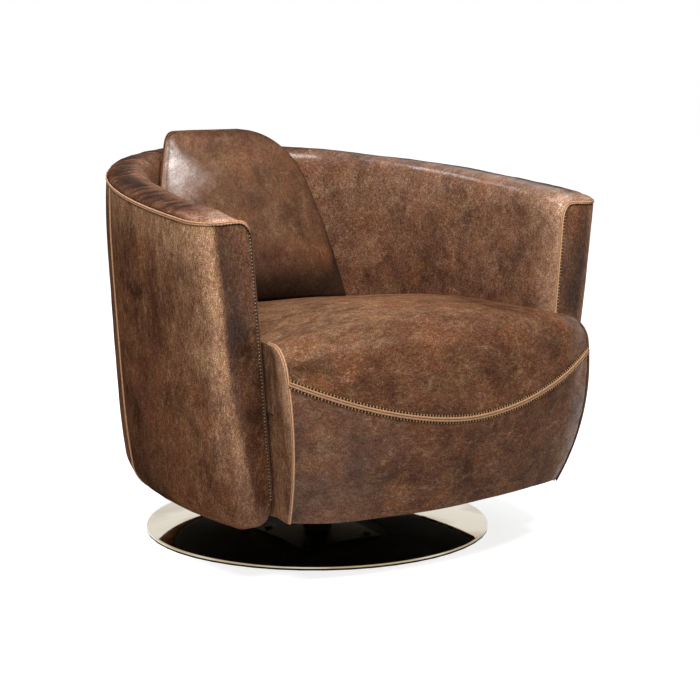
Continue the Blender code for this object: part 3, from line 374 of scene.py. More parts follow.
def buildGrainGroup():
    inputs = [("Vector", "Vector", None), ("Fibre Vector", "Vector", None)]
    tree, given, out = newGroup("hideGrain", inputs, [("Height", "Float")])
    feeds = {"Vector": given["Vector"], "Scale": grain["pebble"]}
    cells = put(tree, "ShaderNodeTexVoronoi", feeds, feature="SMOOTH_F1").outputs["Distance"]
    crease = noise(tree, given["Vector"], *grain["crease"])
    fibre = noise(tree, given["Fibre Vector"], *grain["fibre"])
    first = calc(tree, "MULTIPLY_ADD", cells, grain["pebbleShare"], crease)
    feed(tree, out, {"Height": calc(tree, "MULTIPLY_ADD", fibre, grain["fibreShare"], first)})
    return tree


hideGroup = buildHideGroup()
grainGroup = buildGrainGroup()

# the fibres' stretch, patch scale, scuffs, fibres, gloss and a painted light tone that makes each copy of the hide
# lighter or darker, and the inside bluer, for the light on it; the stretch is how fast the fibres change along X, Y and
# Z, so a small value is the way they run
hides = {
    "sideHide": ((1.0, 1.0, 0.38), 12.0, 0.32, 0.85, 0.30, (1.0, 1.01, 0.99)),
    "insideHide": ((0.35, 0.85, 0.85), 15.0, 0.30, 0.85, 0.22, (1.18, 1.23, 1.32)),
    "seatHide": ((0.5, 0.8, 0.8), 15.0, 0.36, 0.80, 0.32, (0.88, 0.90, 0.86)),
    "padHide": ((0.8, 0.8, 0.6), 13.0, 0.26, 0.50, 0.25, (0.84, 0.85, 0.82)),
}
hideFinish = {  # noises and bands that all the hides share
    "seamShade": (0.1, 1.0, 0.0, 0.18), "seamShadeColour": rgb(0.026, 0.012, 0.007), "rough": (0.0, 0.5, 0.44, 0.60),
    "sheen": (46.0, 5.0, 0.7), "sheenBand": (0.40, 0.62, 0.55, 1.0),
    "pores": (520.0, 2.0, 0.7), "poreBand": (0.36, 0.64, 0.65, 1.0), "bump": (0.6, 0.0016),
}


def buildHide(name):
    stretch, patches, scuffs, fibres, gloss, paintedLightTone = hides[name]
    look = hideFinish
    made, tree, shader, place = newMaterial(name, Specular_IOR_Level=0.0, Coat_Roughness=gloss)
    along = put(tree, "ShaderNodeMapping", {"Vector": place, "Scale": stretch}).outputs[0]
    feeds = {"Vector": place, "Fibre Vector": along}
    height = put(tree, "ShaderNodeGroup", node_tree=grainGroup)
    feed(tree, height, feeds)
    feeds |= {"Patch Scale": patches, "Scuff": scuffs, "Fibre": fibres, "Wear And Painted Light": attribute(tree, "wearAndPaintedLight")}
    hide = put(tree, "ShaderNodeGroup", node_tree=hideGroup)
    feed(tree, hide, feeds)
    # painted light: the tone lightens or darkens this copy of the hide
    colour = mixColour(tree, 1.0, hide.outputs["Color"], rgb(*paintedLightTone), "MULTIPLY")
    # painted shade: the hide darkened beside its seams, where the seam mark says
    colour = mixColour(tree, band(tree, attribute(tree, "seam"), *look["seamShade"]), colour, look["seamShadeColour"])
    sheen = band(tree, noise(tree, place, *look["sheen"]), *look["sheenBand"])
    pores = band(tree, noise(tree, place, *look["pores"]), *look["poreBand"])
    coat = calc(tree, "MULTIPLY", calc(tree, "MULTIPLY", attribute(tree, "shine"), sheen), pores)
    rough = band(tree, hide.outputs["Worn"], *look["rough"])
    normal = bumped(tree, height.outputs["Height"], *look["bump"])
    feed(tree, shader, {"Base Color": colour, "Roughness": rough, "Coat Weight": coat, "Normal": normal})
    return made


# Raw cut edges of the hide: tan, fibrous, a little darker where the seam attribute says, which paints shade in the
# groove between the two edges and darkens some lengths of edge
def buildRawEdge():
    made, tree, shader, place = newMaterial("rawEdge", Specular_IOR_Level=0.04)
    fleck = noise(tree, place, 420.0, 4.0, 0.7)
    colour = mixColour(tree, band(tree, fleck, 0.3, 0.7), rgb(0.27, 0.135, 0.072), rgb(0.50, 0.29, 0.165))
    colour = mixColour(tree, attribute(tree, "seam"), colour, rgb(0.045, 0.021, 0.012))
    rough = band(tree, fleck, 0.2, 0.8, 0.5, 0.75)
    feed(tree, shader, {"Base Color": colour, "Roughness": rough, "Normal": bumped(tree, fleck, 0.4, 0.0006)})
    return made


threads = {
    "paleThread": (rgb(0.24, 0.14, 0.055), rgb(0.46, 0.29, 0.13)),
    "creamThread": (rgb(0.30, 0.22, 0.14), rgb(0.48, 0.38, 0.27)),
    "darkThread": (rgb(0.008, 0.005, 0.004), rgb(0.03, 0.018, 0.011)),
}


def buildThread(name):
    made, tree, shader, place = newMaterial(name, Specular_IOR_Level=0.05)
    ply = noise(tree, place, 900.0, 2.0)
    colour = mixColour(tree, band(tree, ply, 0.35, 0.65), *threads[name])
    feed(tree, shader, {"Base Color": colour, "Roughness": band(tree, ply, 0.3, 0.7, 0.35, 0.6)})
    return made


# Mirror polish, warm in places, with streaks of gold and pale in its colour that paint in reflections, and the faint
# haze that keeps it from looking drawn
def buildChrome():
    made, tree, shader, place = newMaterial("polishedDisc", Metallic=1.0)
    haze = noise(tree, place, 26.0, 6.0, 0.65)
    # painted reflection: streaks in the metal's colour
    paintedReflection = band(tree, noise(tree, place, 6.0, 3.0, 0.5), 0.42, 0.60)
    colour = mixColour(tree, paintedReflection, rgb(0.44, 0.35, 0.21), rgb(0.66, 0.59, 0.46))
    feed(tree, shader, {"Base Color": colour, "Roughness": band(tree, haze, 0.35, 0.75, 0.025, 0.07)})
    return made


# what shows little: dark and light colour, stretch, scale, metal and roughness for each slot of the hidden solids
even = (1.0, 1.0, 1.0)
plainFinishes = {
    "hardwood": (rgb(0.30, 0.17, 0.08), rgb(0.46, 0.29, 0.15), (1.0, 1.0, 0.08), 60.0, 0.0, 0.62),
    "plywood": (rgb(0.42, 0.28, 0.15), rgb(0.58, 0.42, 0.25), (0.15, 1.0, 1.0), 40.0, 0.0, 0.7),
    "webbing": (rgb(0.02, 0.02, 0.02), rgb(0.08, 0.075, 0.07), even, 700.0, 0.0, 0.9),
    "foam": (rgb(0.62, 0.56, 0.40), rgb(0.80, 0.74, 0.58), even, 420.0, 0.0, 0.95),
    # the dust cloth's black is darkened further as painted shade under the seat
    "cloth": (rgb(0.003, 0.003, 0.003), rgb(0.009, 0.009, 0.009), even, 900.0, 0.0, 0.95),
    "steel": (rgb(0.36, 0.36, 0.37), rgb(0.52, 0.52, 0.54), (1.0, 1.0, 0.3), 120.0, 1.0, 0.38),
    "nylon": (rgb(0.008, 0.008, 0.008), rgb(0.02, 0.02, 0.02), even, 90.0, 0.0, 0.5),
    "rubber": (rgb(0.015, 0.015, 0.015), rgb(0.04, 0.04, 0.04), even, 300.0, 0.0, 0.85),
    # painted shade: near-black finishes for the parts under the seat, which sit in shade
    "shadeBlackSteel": (rgb(0.003, 0.003, 0.003), rgb(0.007, 0.007, 0.006), even, 80.0, 0.0, 0.5),
    "shadeBlackBoard": (rgb(0.004, 0.004, 0.004), rgb(0.009, 0.008, 0.008), even, 80.0, 0.0, 0.8),
}


def buildPlain(name):
    dark, light, stretch, scale, metallic, rough = plainFinishes[name]
    made, tree, shader, place = newMaterial(name + "Finish", Metallic=metallic, Specular_IOR_Level=0.1)
    stretched = put(tree, "ShaderNodeMapping", {"Vector": place, "Scale": stretch}).outputs[0]
    fleck = noise(tree, stretched, scale, 5.0, 0.6)
    colour = mixColour(tree, band(tree, fleck, 0.3, 0.7), dark, light)
    uneven = band(tree, fleck, 0.2, 0.8, rough - 0.08, rough + 0.05)
    feed(tree, shader, {"Base Color": colour, "Roughness": uneven, "Normal": bumped(tree, fleck, 0.25, 0.0004)})
    return made


materials = {name: buildHide(name) for name in hides}
materials |= {name: buildPlain(name) for name in plainFinishes}
materials |= {name: buildThread(name) for name in threads}
materials |= {"rawEdge": buildRawEdge(), "chrome": buildChrome()}
slotFinish = {**{name: name for name in plainFinishes}, "leather": "sideHide", "welt": "rawEdge", "chrome": "chrome"}
# painted shade: the parts under the seat get near-black finishes in place of their own
shadeFinish = {node: "shadeBlackSteel" for node in ("swivel_plate", "plate_bolt", "spindle", "column_bolt")}
shadeFinish["bottom_board"] = "shadeBlackBoard"
for entry in frame["record"]["subparts"]:
    node = frame["nodes"][entry["node"]]
    node.data.materials.clear()
    finish = shadeFinish.get(entry["node"].rstrip("_1234"), slotFinish[entry["material_slot"]])
    node.data.materials.append(materials[finish])
print("materials:", len(materials))


# The tub: both rims are ellipses cut off at the arm fronts; s is 0 at the back and -1 or 1 at an arm front

leather = {"thick": 0.002, "seamHalf": 0.00275}
tub = {
    "halfWidth": 0.415, "length": 0.625, "centreY": -0.20, "armFrontY": -0.308,
    "armThick": 0.0933, "backThick": 0.050, "corner": 0.040, "tightCorner": 0.006, "backSeamY": 0.080,
    "rimHeight": 0.6267, "rimClimb": 0.096,  # at Y = 0, and per metre towards the back
    "armLean": 0.115, "backLean": 0.025, "innerDraft": 0.034,  # per metre of height
    "bottom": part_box("outer_back")[0].z, "bottomRound": 0.055, "underTurn": 0.008, "bulge": 0.0065,
}
innerRim = (tub["halfWidth"] - tub["armThick"], tub["length"] - tub["backThick"])
armCut = tub["armFrontY"] - tub["centreY"]


def stationOf(y):
    return np.arccos((y - tub["centreY"]) / tub["length"]) / np.arccos(armCut / tub["length"])


def stationBehind(reach):  # at a reach behind the arm fronts
    return stationOf(tub["armFrontY"] + reach)


def rimAt(s):  # outer rim point, direction inwards and wall thickness
    outerTurn = s * np.arccos(armCut / tub["length"])
    innerTurn = s * np.arccos(armCut / innerRim[1])
    outer = np.stack([tub["halfWidth"] * np.sin(outerTurn), tub["length"] * np.cos(outerTurn)], -1)
    inner = np.stack([innerRim[0] * np.sin(innerTurn), innerRim[1] * np.cos(innerTurn)], -1)
    thick = np.linalg.norm(inner - outer, axis=-1)
    return outer + np.array([0, tub["centreY"]]), (inner - outer) / thick[..., None], thick


def rimZ(s):
    return tub["rimHeight"] + tub["rimClimb"] * rimAt(s)[0][..., 1]


# a point of the wall: from the rim inwards by its lean below the rim and by a depth
def wallPoint(s, depth, z):
    s, depth, z = np.broadcast_arrays(np.asarray(s, float), depth, z)
    outer, inwards, _ = rimAt(s)
    lean = tub["backLean"] + (tub["armLean"] - tub["backLean"]) * s ** 2
    across = lean * (rimZ(s) - z) + depth
    return np.concatenate([outer + inwards * across[..., None], z[..., None]], -1)


def wallDepth(s, z):
    return rimAt(s)[2] - tub["innerDraft"] * (rimZ(s) - z)


def cornerCut(reach):  # depth of the rounded arm corner at a reach behind the arm front
    back = np.clip(tub["corner"] - reach, 0, tub["corner"])
    return tub["corner"] - np.sqrt(tub["corner"] ** 2 - back ** 2)


# Inside leather: over the rim by a quarter ellipse and a squarer one, then down inside the wall
inside = {
    "rise": 0.0148, "frontShare": 0.4, "frontReach": 0.060, "frontLift": 0.002, "kneeDrop": 0.030,
    "kneeSquare": 0.77, "low": 0.300, "columns": 330, "rows": (14, 28, 46), "endCrowding": 1.3,
    "dip": 0.0022, "dipWidth": 0.006, "pucker": 0.0007, "puckerReach": 0.030, "puckerLength": 0.030, "roll": 0.0011,
}
# where it is paled, darkened and shines, in metres from the rim's seam or an arm's end: a bell's middle and width, or
# where a ramp starts and is full; the paling is mostly painted highlight and painted sheen
insidePlaces = {
    "crown": (0.075, 0.035), "top": (0.030, 0.030), "upper": (0.11, 0.04), "shoulder": (0.068, 0.016),
    "wall": (0.085, 0.135), "low": (0.22, 0.34), "hazyTop": (0.27, 0.07), "hazyBack": (-0.14, 0.06),
    "shoulderSide": (0.0, 0.2), "armTop": (0.0, 0.055), "armTopEnd": (0.10, 0.07),
    "endNear": (0.0, 0.05), "endFar": (0.0, 0.17), "endBelow": (0.05, 0.10),
}


def seamZ(s):  # the rim seam, lifted a little round the arm's corner
    reach = np.maximum(rimAt(s)[0][..., 1] - tub["armFrontY"], 0)
    turned = np.arcsin(np.clip(1 - reach / tub["corner"], 0, 1)) / (np.pi / 2)
    return rimZ(s) + inside["frontLift"] * turned


def crestOutline(s):  # depths and heights over the rim at each s
    s = np.atleast_1d(np.asarray(s, float))[:, None]
    outer, _, thick = rimAt(s)
    top = rimZ(s)
    reach = np.maximum(outer[..., 1] - tub["armFrontY"], 0)
    shares = inside["frontShare"] + (1 - inside["frontShare"]) * np.clip(reach / inside["frontReach"], 0, 1)
    rise = inside["rise"] * shares
    start = cornerCut(reach)
    middle = (start + thick) / 2
    kneeZ = top - inside["kneeDrop"]
    knee = wallDepth(s, kneeZ)
    edge = seamZ(s) + leather["seamHalf"]
    up = np.linspace(0, np.pi / 2, inside["rows"][0])[:-1]
    over = np.pi / 4 * (1 - np.cos(np.linspace(0, np.pi, inside["rows"][1])))
    fall = np.linspace(0, 1, inside["rows"][2])[1:]
    square = inside["kneeSquare"]
    wallZ = kneeZ + (inside["low"] - kneeZ) * fall
    depths = [start + (middle - start) * (1 - np.cos(up)), middle + (knee - middle) * np.sin(over) ** square]
    heights = [edge + (top + rise - edge) * np.sin(up)]
    heights.append(kneeZ + (rise + inside["kneeDrop"]) * np.clip(np.cos(over), 0, 1) ** square)
    return np.concatenate([*depths, wallDepth(s, wallZ)], 1), np.concatenate([*heights, wallZ], 1)


def buildInside():
    t = np.linspace(-1, 1, inside["columns"])
    end = stationBehind(leather["seamHalf"])
    s = end * np.sign(t) * (1 - (1 - np.abs(t)) ** inside["endCrowding"])
    depth, z = crestOutline(s)
    grid = wallPoint(s[:, None], depth, z)
    left, right, rim, _ = edgeDistances(grid)
    grid, marks = upholster(grid, (0, -1, 0), (left, right, rim), 11, inside)
    at = insidePlaces
    crown, top, upper, shoulder = (bell(rim, *at[key]) for key in ("crown", "top", "upper", "shoulder"))
    wall, low = (ramp(rim, *at[key]) for key in ("wall", "low"))
    hazy = ramp(grid[..., 1], *at["hazyBack"]) * ramp(rim, *at["hazyTop"])  # painted sheen on the upper wall towards the back, which also shines
    armTop = bell(np.minimum(left, right), *at["armTop"]) * ramp(rim, *at["armTopEnd"])
    # painted highlight: a pale band down the wall beside the right arm's end
    rightEnd = (1.6 * bell(right, *at["endNear"]) + 0.35 * bell(right, *at["endFar"])) * ramp(rim, *at["endBelow"])
    over = np.stack([left, 0.15 * rim, 0.0 * rim], -1)  # scuffs run over the rim, close beside each other
    streaks = waves(over, 0.024, 17) + 0.8 * waves(over, 0.013, 18)
    # painted highlight on the rim's inner shoulder (crown) and painted sheen on the arm tops; the rim's top darker,
    # with scuffs across it
    rimWearAndPaintedLight = 0.2 * crown + top * (0.4 * streaks - 0.9 * (1 - armTop)) + 1.2 * armTop + 0.15 * upper
    # the wall paler, at random in places, darker lower down, with painted sheen towards the back and top (hazy)
    wallWearAndPaintedLight = wall * (0.2 + 0.15 * waves(grid, 0.2, 13) - 0.3 * low + 0.35 * hazy)
    marks["wearAndPaintedLight"] = rimWearAndPaintedLight + wallWearAndPaintedLight + rightEnd
    rimShine = 0.18 * crown + shoulder * ramp(grid[..., 0], *at["shoulderSide"]) + 0.5 * armTop
    marks["shine"] = rimShine + wall * (0.55 + 0.45 * hazy)
    made = leatherSheet("insideLeather", grid, (0, -1, 0), "insideHide", ("inner_cover", "tub_foam"), marks)
    return made


buildInside()
print("inside leather done")


# Outer leather: side, round the arm's corner and over its front, down the wall and under by a quarter circle
outside = {
    "sideColumns": 84, "cornerColumns": 20, "frontColumns": 18, "backColumns": 150, "wallRows": 90, "turnRows": 16,
    "dip": 0.0007, "dipWidth": 0.005, "pucker": 0.0005, "puckerReach": 0.016, "puckerLength": 0.022, "roll": 0.0007,
}
# where it is paled and darkened, mostly painted highlight and painted shade: along the bend from the middle of the
# arm's corner, up from the foot and down from the rim
outsidePlaces = {
    "spread": (0.30, 0.02), "turned": (0.006, 0.018), "farPale": (-0.18, -0.07), "nearPale": (-0.075, -0.015),
    "edge": (0.001, 0.008), "paleFoot": (0.05, 0.38), "darkBehind": (-0.14, -0.29), "darkLow": (0.36, 0.16),
    "frontSeam": (0.03, 0.065), "frontFoot": (0.10, 0.32), "rimFront": (-0.24, -0.12), "rim": (0.0, 0.055),
    "foot": (0.26, 0.0), "sheen": (-0.006, 0.017), "backRim": (0.0, 0.026),
}


def skirtRows(top, bulge=0.0):  # depths and heights from the top edge of each column to the underside
    low = tub["bottom"] + tub["bottomRound"]
    wall = top[:, None] + (low - top[:, None]) * np.linspace(0, 1, outside["wallRows"])
    turn = np.linspace(0, np.pi / 2, outside["turnRows"])[1:]
    depth = np.concatenate([tub["bottomRound"] * (1 - np.cos(turn)), [tub["bottomRound"] + tub["underTurn"]]])
    height = np.concatenate([low - tub["bottomRound"] * np.sin(turn), [tub["bottom"]]])
    swell = 1 - np.linspace(-1, 1, outside["wallRows"]) ** 4  # the padding swells between rim and foot
    depths = np.concatenate([np.outer(bulge * np.ones(len(top)), -swell), np.tile(depth, (len(top), 1))], 1)
    return depths, np.concatenate([wall, np.tile(height, (len(top), 1))], 1)


def cornerPoints(share, depth, z):  # round the arm's corner, a quarter circle that tightens with depth
    radius = np.maximum(tub["corner"] - depth, tub["tightCorner"])
    turn = share[:, None] * np.pi / 2
    s = stationBehind(depth + radius * (1 - np.sin(turn)))
    return wallPoint(s, depth + radius * (1 - np.cos(turn)), z)


def frontPoints(share, depth, z):  # over the arm front, from the corner to the seam beside the seat
    start = np.maximum(tub["corner"], depth + tub["tightCorner"])
    end = wallDepth(1.0, z) - 2 * leather["seamHalf"]
    return wallPoint(stationBehind(depth), start + (end - start) * share[:, None], z)


def sidePoints(s, depth, z):  # the side, drawn back where the fold at the corner needs room
    first = stationOf(tub["backSeamY"])
    full = stationBehind(tub["corner"]) - first
    room = stationBehind(np.maximum(tub["corner"], depth + tub["tightCorner"])) - first
    return wallPoint(first + (s[:, None] - first) * room / full, depth, z)


def armFrontOutline(inset):  # the crest at the arm front, moved in along its normals: depths and heights
    depth, z = crestOutline(1.0)
    path = np.stack([depth[0], z[0]], -1)
    along = unit(np.gradient(path, axis=0))
    return path + inset * np.stack([along[:, 1], -along[:, 0]], -1)


def buildOutsideGrid():
    seamS = stationOf(tub["backSeamY"] - leather["seamHalf"])
    s = np.linspace(seamS, stationBehind(tub["corner"]), outside["sideColumns"])
    swell = tub["bulge"] * ease((s[-1] - s) / (s[-1] - s[0]))  # none at the arm's corner
    side = sidePoints(s, *skirtRows(rimZ(s) - leather["seamHalf"], swell))
    share = np.linspace(0, 1, outside["cornerColumns"])[1:]
    turned = stationBehind(tub["corner"] * (1 - np.sin(share * np.pi / 2)))
    corner = cornerPoints(share, *skirtRows(seamZ(turned) - leather["seamHalf"]))
    outline = armFrontOutline(2 * leather["seamHalf"])
    widest = int(outline[:, 0].argmax())
    share = np.sin(np.linspace(0, np.pi / 2, outside["frontColumns"]))[1:]
    reach = tub["corner"] + (outline[widest, 0] - tub["corner"]) * share
    top = np.interp(reach, outline[1:widest + 1, 0], outline[1:widest + 1, 1])
    front = frontPoints(share, *skirtRows(top))
    return np.concatenate([side, corner, front])


def buildOutside():
    grid = buildOutsideGrid()
    seamBack, seamSeat, rim, foot = edgeDistances(grid)
    at = outsidePlaces
    bend = seamBack - seamBack[outside["sideColumns"] + outside["cornerColumns"] // 2]
    bend = bend - 0.026 * ramp(foot, *at["spread"])  # the painted highlight round the corner widens towards the foot
    turned = ramp(bend, *at["turned"])  # 0 on the side, 1 on the arm front
    # painted highlight, with some scuffing: a pale band round the arm's corner, strongest higher up
    pale = 0.55 * ramp(bend, *at["farPale"]) + 0.6 * ramp(bend, *at["nearPale"]) + 0.95 * bell(bend, *at["edge"])
    pale = pale * (0.30 + 0.70 * ramp(foot, *at["paleFoot"]))
    # the side darker low down towards the back
    pale = pale - 0.35 * ramp(bend, *at["darkBehind"]) * ramp(foot, *at["darkLow"])
    # painted shade: the arm front darker
    front = turned * (1 - 0.5 * ramp(bend, *at["frontSeam"])) * ramp(foot, *at["frontFoot"])
    wearAndPaintedLight = pale * (1 - turned) - 0.62 * front
    # a pale band below the rim, partly painted highlight and partly wear, more towards the arm front
    wearAndPaintedLight = wearAndPaintedLight + (1.1 + 1.1 * ramp(bend, *at["rimFront"])) * (1 - 0.9 * turned) * bell(rim, *at["rim"])
    # paler and darker at random, and darker towards the foot
    wearAndPaintedLight = wearAndPaintedLight + 0.45 * waves(grid, 0.08, 25) * np.abs(wearAndPaintedLight) - 0.25 * ramp(foot, *at["foot"])
    shine = 0.3 * bell(bend, *at["sheen"]) + 0.35 * turned
    for name, sign, seed in (("right", 1.0, 21), ("left", -1.0, 31)):
        facing = (sign, 0, 0)
        dressed, marks = upholster(grid * mirror(sign), facing, (seamBack, seamSeat, rim), seed, outside)
        toned = np.where(wearAndPaintedLight > 0, wearAndPaintedLight * (0.65 - 0.35 * sign), wearAndPaintedLight)  # the left arm gets more of the painted highlight
        marks |= {"wearAndPaintedLight": toned, "shine": shine}
        replaced = ("outer_side_" + name, "arm_front_foam_" + name)
        leatherSheet("sideLeather_" + name, dressed, facing, "sideHide", replaced, marks)
    end = stationOf(tub["backSeamY"] + leather["seamHalf"])
    s = np.linspace(-end, end, outside["backColumns"])
    back = wallPoint(s[:, None], *skirtRows(rimZ(s) - leather["seamHalf"], tub["bulge"]))
    left, right, rim, _ = edgeDistances(back)
    dressed, marks = upholster(back, (0, 1, 0), (left, right, rim), 41, outside)
    marks |= {"wearAndPaintedLight": 0.8 * bell(rim, *at["backRim"]), "shine": np.full_like(rim, 0.02)}
    leatherSheet("backLeather", dressed, (0, 1, 0), "sideHide", ("outer_back",), marks)


buildOutside()
print("outer leather done")


# Seat: crowned across and along, rolled over its bowed and bellied front, sewn along a curve that hangs in the middle
seat = {
    "sideGap": 0.0035, "backY": 0.270, "sideHeight": 0.403, "rake": 0.028, "flare": 0.200,
    "borderStop": 0.0035, "borderTuck": 0.020, "borderColumns": 22,
    "crown": 0.048, "crownY": -0.242, "crownLength": 0.311, "crownPower": 2.9,
    "frontY": -0.400, "bow": 0.066, "belly": 1.45, "bellyZ": 0.300, "roll": 0.036,
    "bottom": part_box("seat_front_cover")[0].z, "seamLow": 0.2765, "seamLift": 0.0790, "seamPower": 1.75,
    "hem": ((0.008, 0.45, 0.45), (-0.004, -0.72, 0.2)),  # lift, place across and width of each bend
    "deckZ": 0.290, "underY": -0.345, "backFoot": 0.34,
    "columns": 96, "topRows": 84, "rollRows": 18, "lipRows": 18, "faceRows": 34,
}
seamRow = seat["topRows"] + seat["rollRows"] + seat["lipRows"] - 3  # rows that seatLoop makes
shownRows = seamRow + seat["faceRows"]
seatLook = {
    "dip": 0.0024, "dipWidth": 0.006, "pucker": 0.0008, "puckerReach": 0.022, "puckerLength": 0.026, "roll": 0.0012,
    "start": 0.005, "startWidth": 0.05, "pressure": 3.0, "cap": 0.010, "frames": 20, "capInset": 0.02,
    "sewnWidth": 0.006, "clear": 0.0005,
}
seatPlaces = {  # ramps along Y or X
    "rubbedFront": (-0.46, -0.35), "rubbedLeft": (0.24, -0.16), "behind": (-0.25, -0.15), "behindRight": (-0.05, 0.10),
    "sheenLeft": (-0.08, -0.23), "sheenRight": (0.24, 0.29),
}

# half the width between the arms as a table over height and Y, read by two-way interpolation
gapHeights = np.linspace(0.05, 0.75, 57)
gapPlaces = np.linspace(-0.50, 0.37, 175)


def buildGapTable():
    s = np.linspace(1, 0, 120)
    wall = wallPoint(s[None], wallDepth(s[None], gapHeights[:, None]), gapHeights[:, None])
    return np.stack([np.interp(gapPlaces, row[:, 1], row[:, 0]) for row in wall])


gapTable = buildGapTable()


def halfGap(y, z):
    y, z = np.broadcast_arrays(np.asarray(y, float), np.asarray(z, float))
    row = np.clip((z - gapHeights[0]) / (gapHeights[1] - gapHeights[0]), 0, len(gapHeights) - 1.001)
    col = np.clip((y - gapPlaces[0]) / (gapPlaces[1] - gapPlaces[0]), 0, len(gapPlaces) - 1.001)
    i, j = row.astype(int), col.astype(int)
    u, v = row - i, col - j
    low = gapTable[i, j] * (1 - v) + gapTable[i, j + 1] * v
    high = gapTable[i + 1, j] * (1 - v) + gapTable[i + 1, j + 1] * v
    flare = seat["flare"] * np.maximum(tub["armFrontY"] - seat["borderStop"] - y, 0)
    return low * (1 - u) + high * u - seat["sideGap"] + flare


def seatTopZ(share, y):
    lift = np.maximum(1 - ((y - seat["crownY"]) / seat["crownLength"]) ** 2, 0)
    side = seat["sideHeight"] - seat["rake"] * (y - tub["armFrontY"])
    return side + seat["crown"] * lift * (1 - np.abs(share) ** seat["crownPower"])


def seatFaceY(share, z):
    return seat["frontY"] - seat["bow"] * (1 - share ** 2) + seat["belly"] * (z - seat["bellyZ"]) ** 2


def smileZ(share):
    return seat["seamLow"] + seat["seamLift"] * np.abs(share) ** seat["seamPower"]


# Y and Z over the seat at each share of its width: back, top, roll, face to the seam, face below it, underside
def seatLoop(share):
    share = np.atleast_1d(share)[:, None]
    edge = seatTopZ(share, seat["frontY"])
    start = seatFaceY(share, edge) + seat["roll"]
    y = seat["backY"] + (start - seat["backY"]) * np.linspace(0, 1, seat["topRows"])
    blend = (y - seat["backY"]) / (start - seat["backY"])
    top = seatTopZ(share, y) + (edge - seatTopZ(share, start)) * blend
    rollZ = edge - seat["roll"]
    turn = np.linspace(np.pi / 2, 0, seat["rollRows"])[1:]
    overZ = rollZ + seat["roll"] * np.sin(turn)
    overY = seatFaceY(share, overZ) + seat["roll"] * (1 - np.cos(turn))
    seamAt = smileZ(share)
    lipZ = rollZ + (seamAt - rollZ) * np.linspace(0, 1, seat["lipRows"])[1:]
    hem = sum(lift * bell(share, place, width) for lift, place, width in seat["hem"])
    faceZ = seamAt + (seat["bottom"] + hem - seamAt) * np.linspace(0, 1, seat["faceRows"])[1:]
    ones = np.ones_like(share)
    hiddenY = np.array([seat["underY"], seat["underY"], 0.0, seat["backY"], seat["backY"]])
    hiddenZ = np.array([seat["bottom"], seat["deckZ"], seat["deckZ"], seat["deckZ"], seat["backFoot"]])
    ys = [y, overY, seatFaceY(share, lipZ), seatFaceY(share, faceZ), ones * hiddenY]
    zs = [top, overZ, lipZ, faceZ, ones * hiddenZ]
    return np.concatenate(ys, 1), np.concatenate(zs, 1)


def seatPoints(share, y, z):
    return np.stack([np.broadcast_to(share, y.shape) * halfGap(y, z), y, z], -1)


# puffs a closed piece with cloth pressure; pinned points stay, and no point moves past the cap
def puff(piece, pinned, settings):
    group = piece.vertex_groups.new(name="sewn")
    for index, weight in enumerate(pinned.tolist()):
        if weight > 0:
            group.add([index], weight, "REPLACE")
    cloth = piece.modifiers.new("stuffing", "CLOTH")
    cloth.settings.vertex_group_mass = group.name
    cloth.settings.use_pressure = True
    cloth.settings.uniform_pressure_force = settings["pressure"]
    cloth.settings.effector_weights.gravity = 0
    cloth.settings.tension_stiffness = 30
    cloth.settings.compression_stiffness = 30
    cloth.settings.bending_stiffness = 4
    cloth.point_cache.frame_end = settings["frames"]
    for step in range(1, settings["frames"] + 1):
        scene.frame_set(step)
    shaped = piece.evaluated_get(bpy.context.evaluated_depsgraph_get()).data
    now = np.empty(len(shaped.vertices) * 3, np.float32)
    shaped.vertices.foreach_get("co", now)
    was = np.empty_like(now)
    piece.data.vertices.foreach_get("co", was)
    move = (now - was).reshape(-1, 3)
    length = np.linalg.norm(move, axis=1, keepdims=True)
    move *= np.minimum(1, settings["cap"] / np.maximum(length, 1e-9))
    print(piece.name, "swelled by", round(float(length.max()) * 1000, 1), "mm, kept to", settings["cap"] * 1000)
    piece.modifiers.remove(cloth)
    piece.vertex_groups.remove(group)
    scene.frame_set(1)
    piece.data.vertices.foreach_set("co", was + move.ravel())
    piece.data.update()


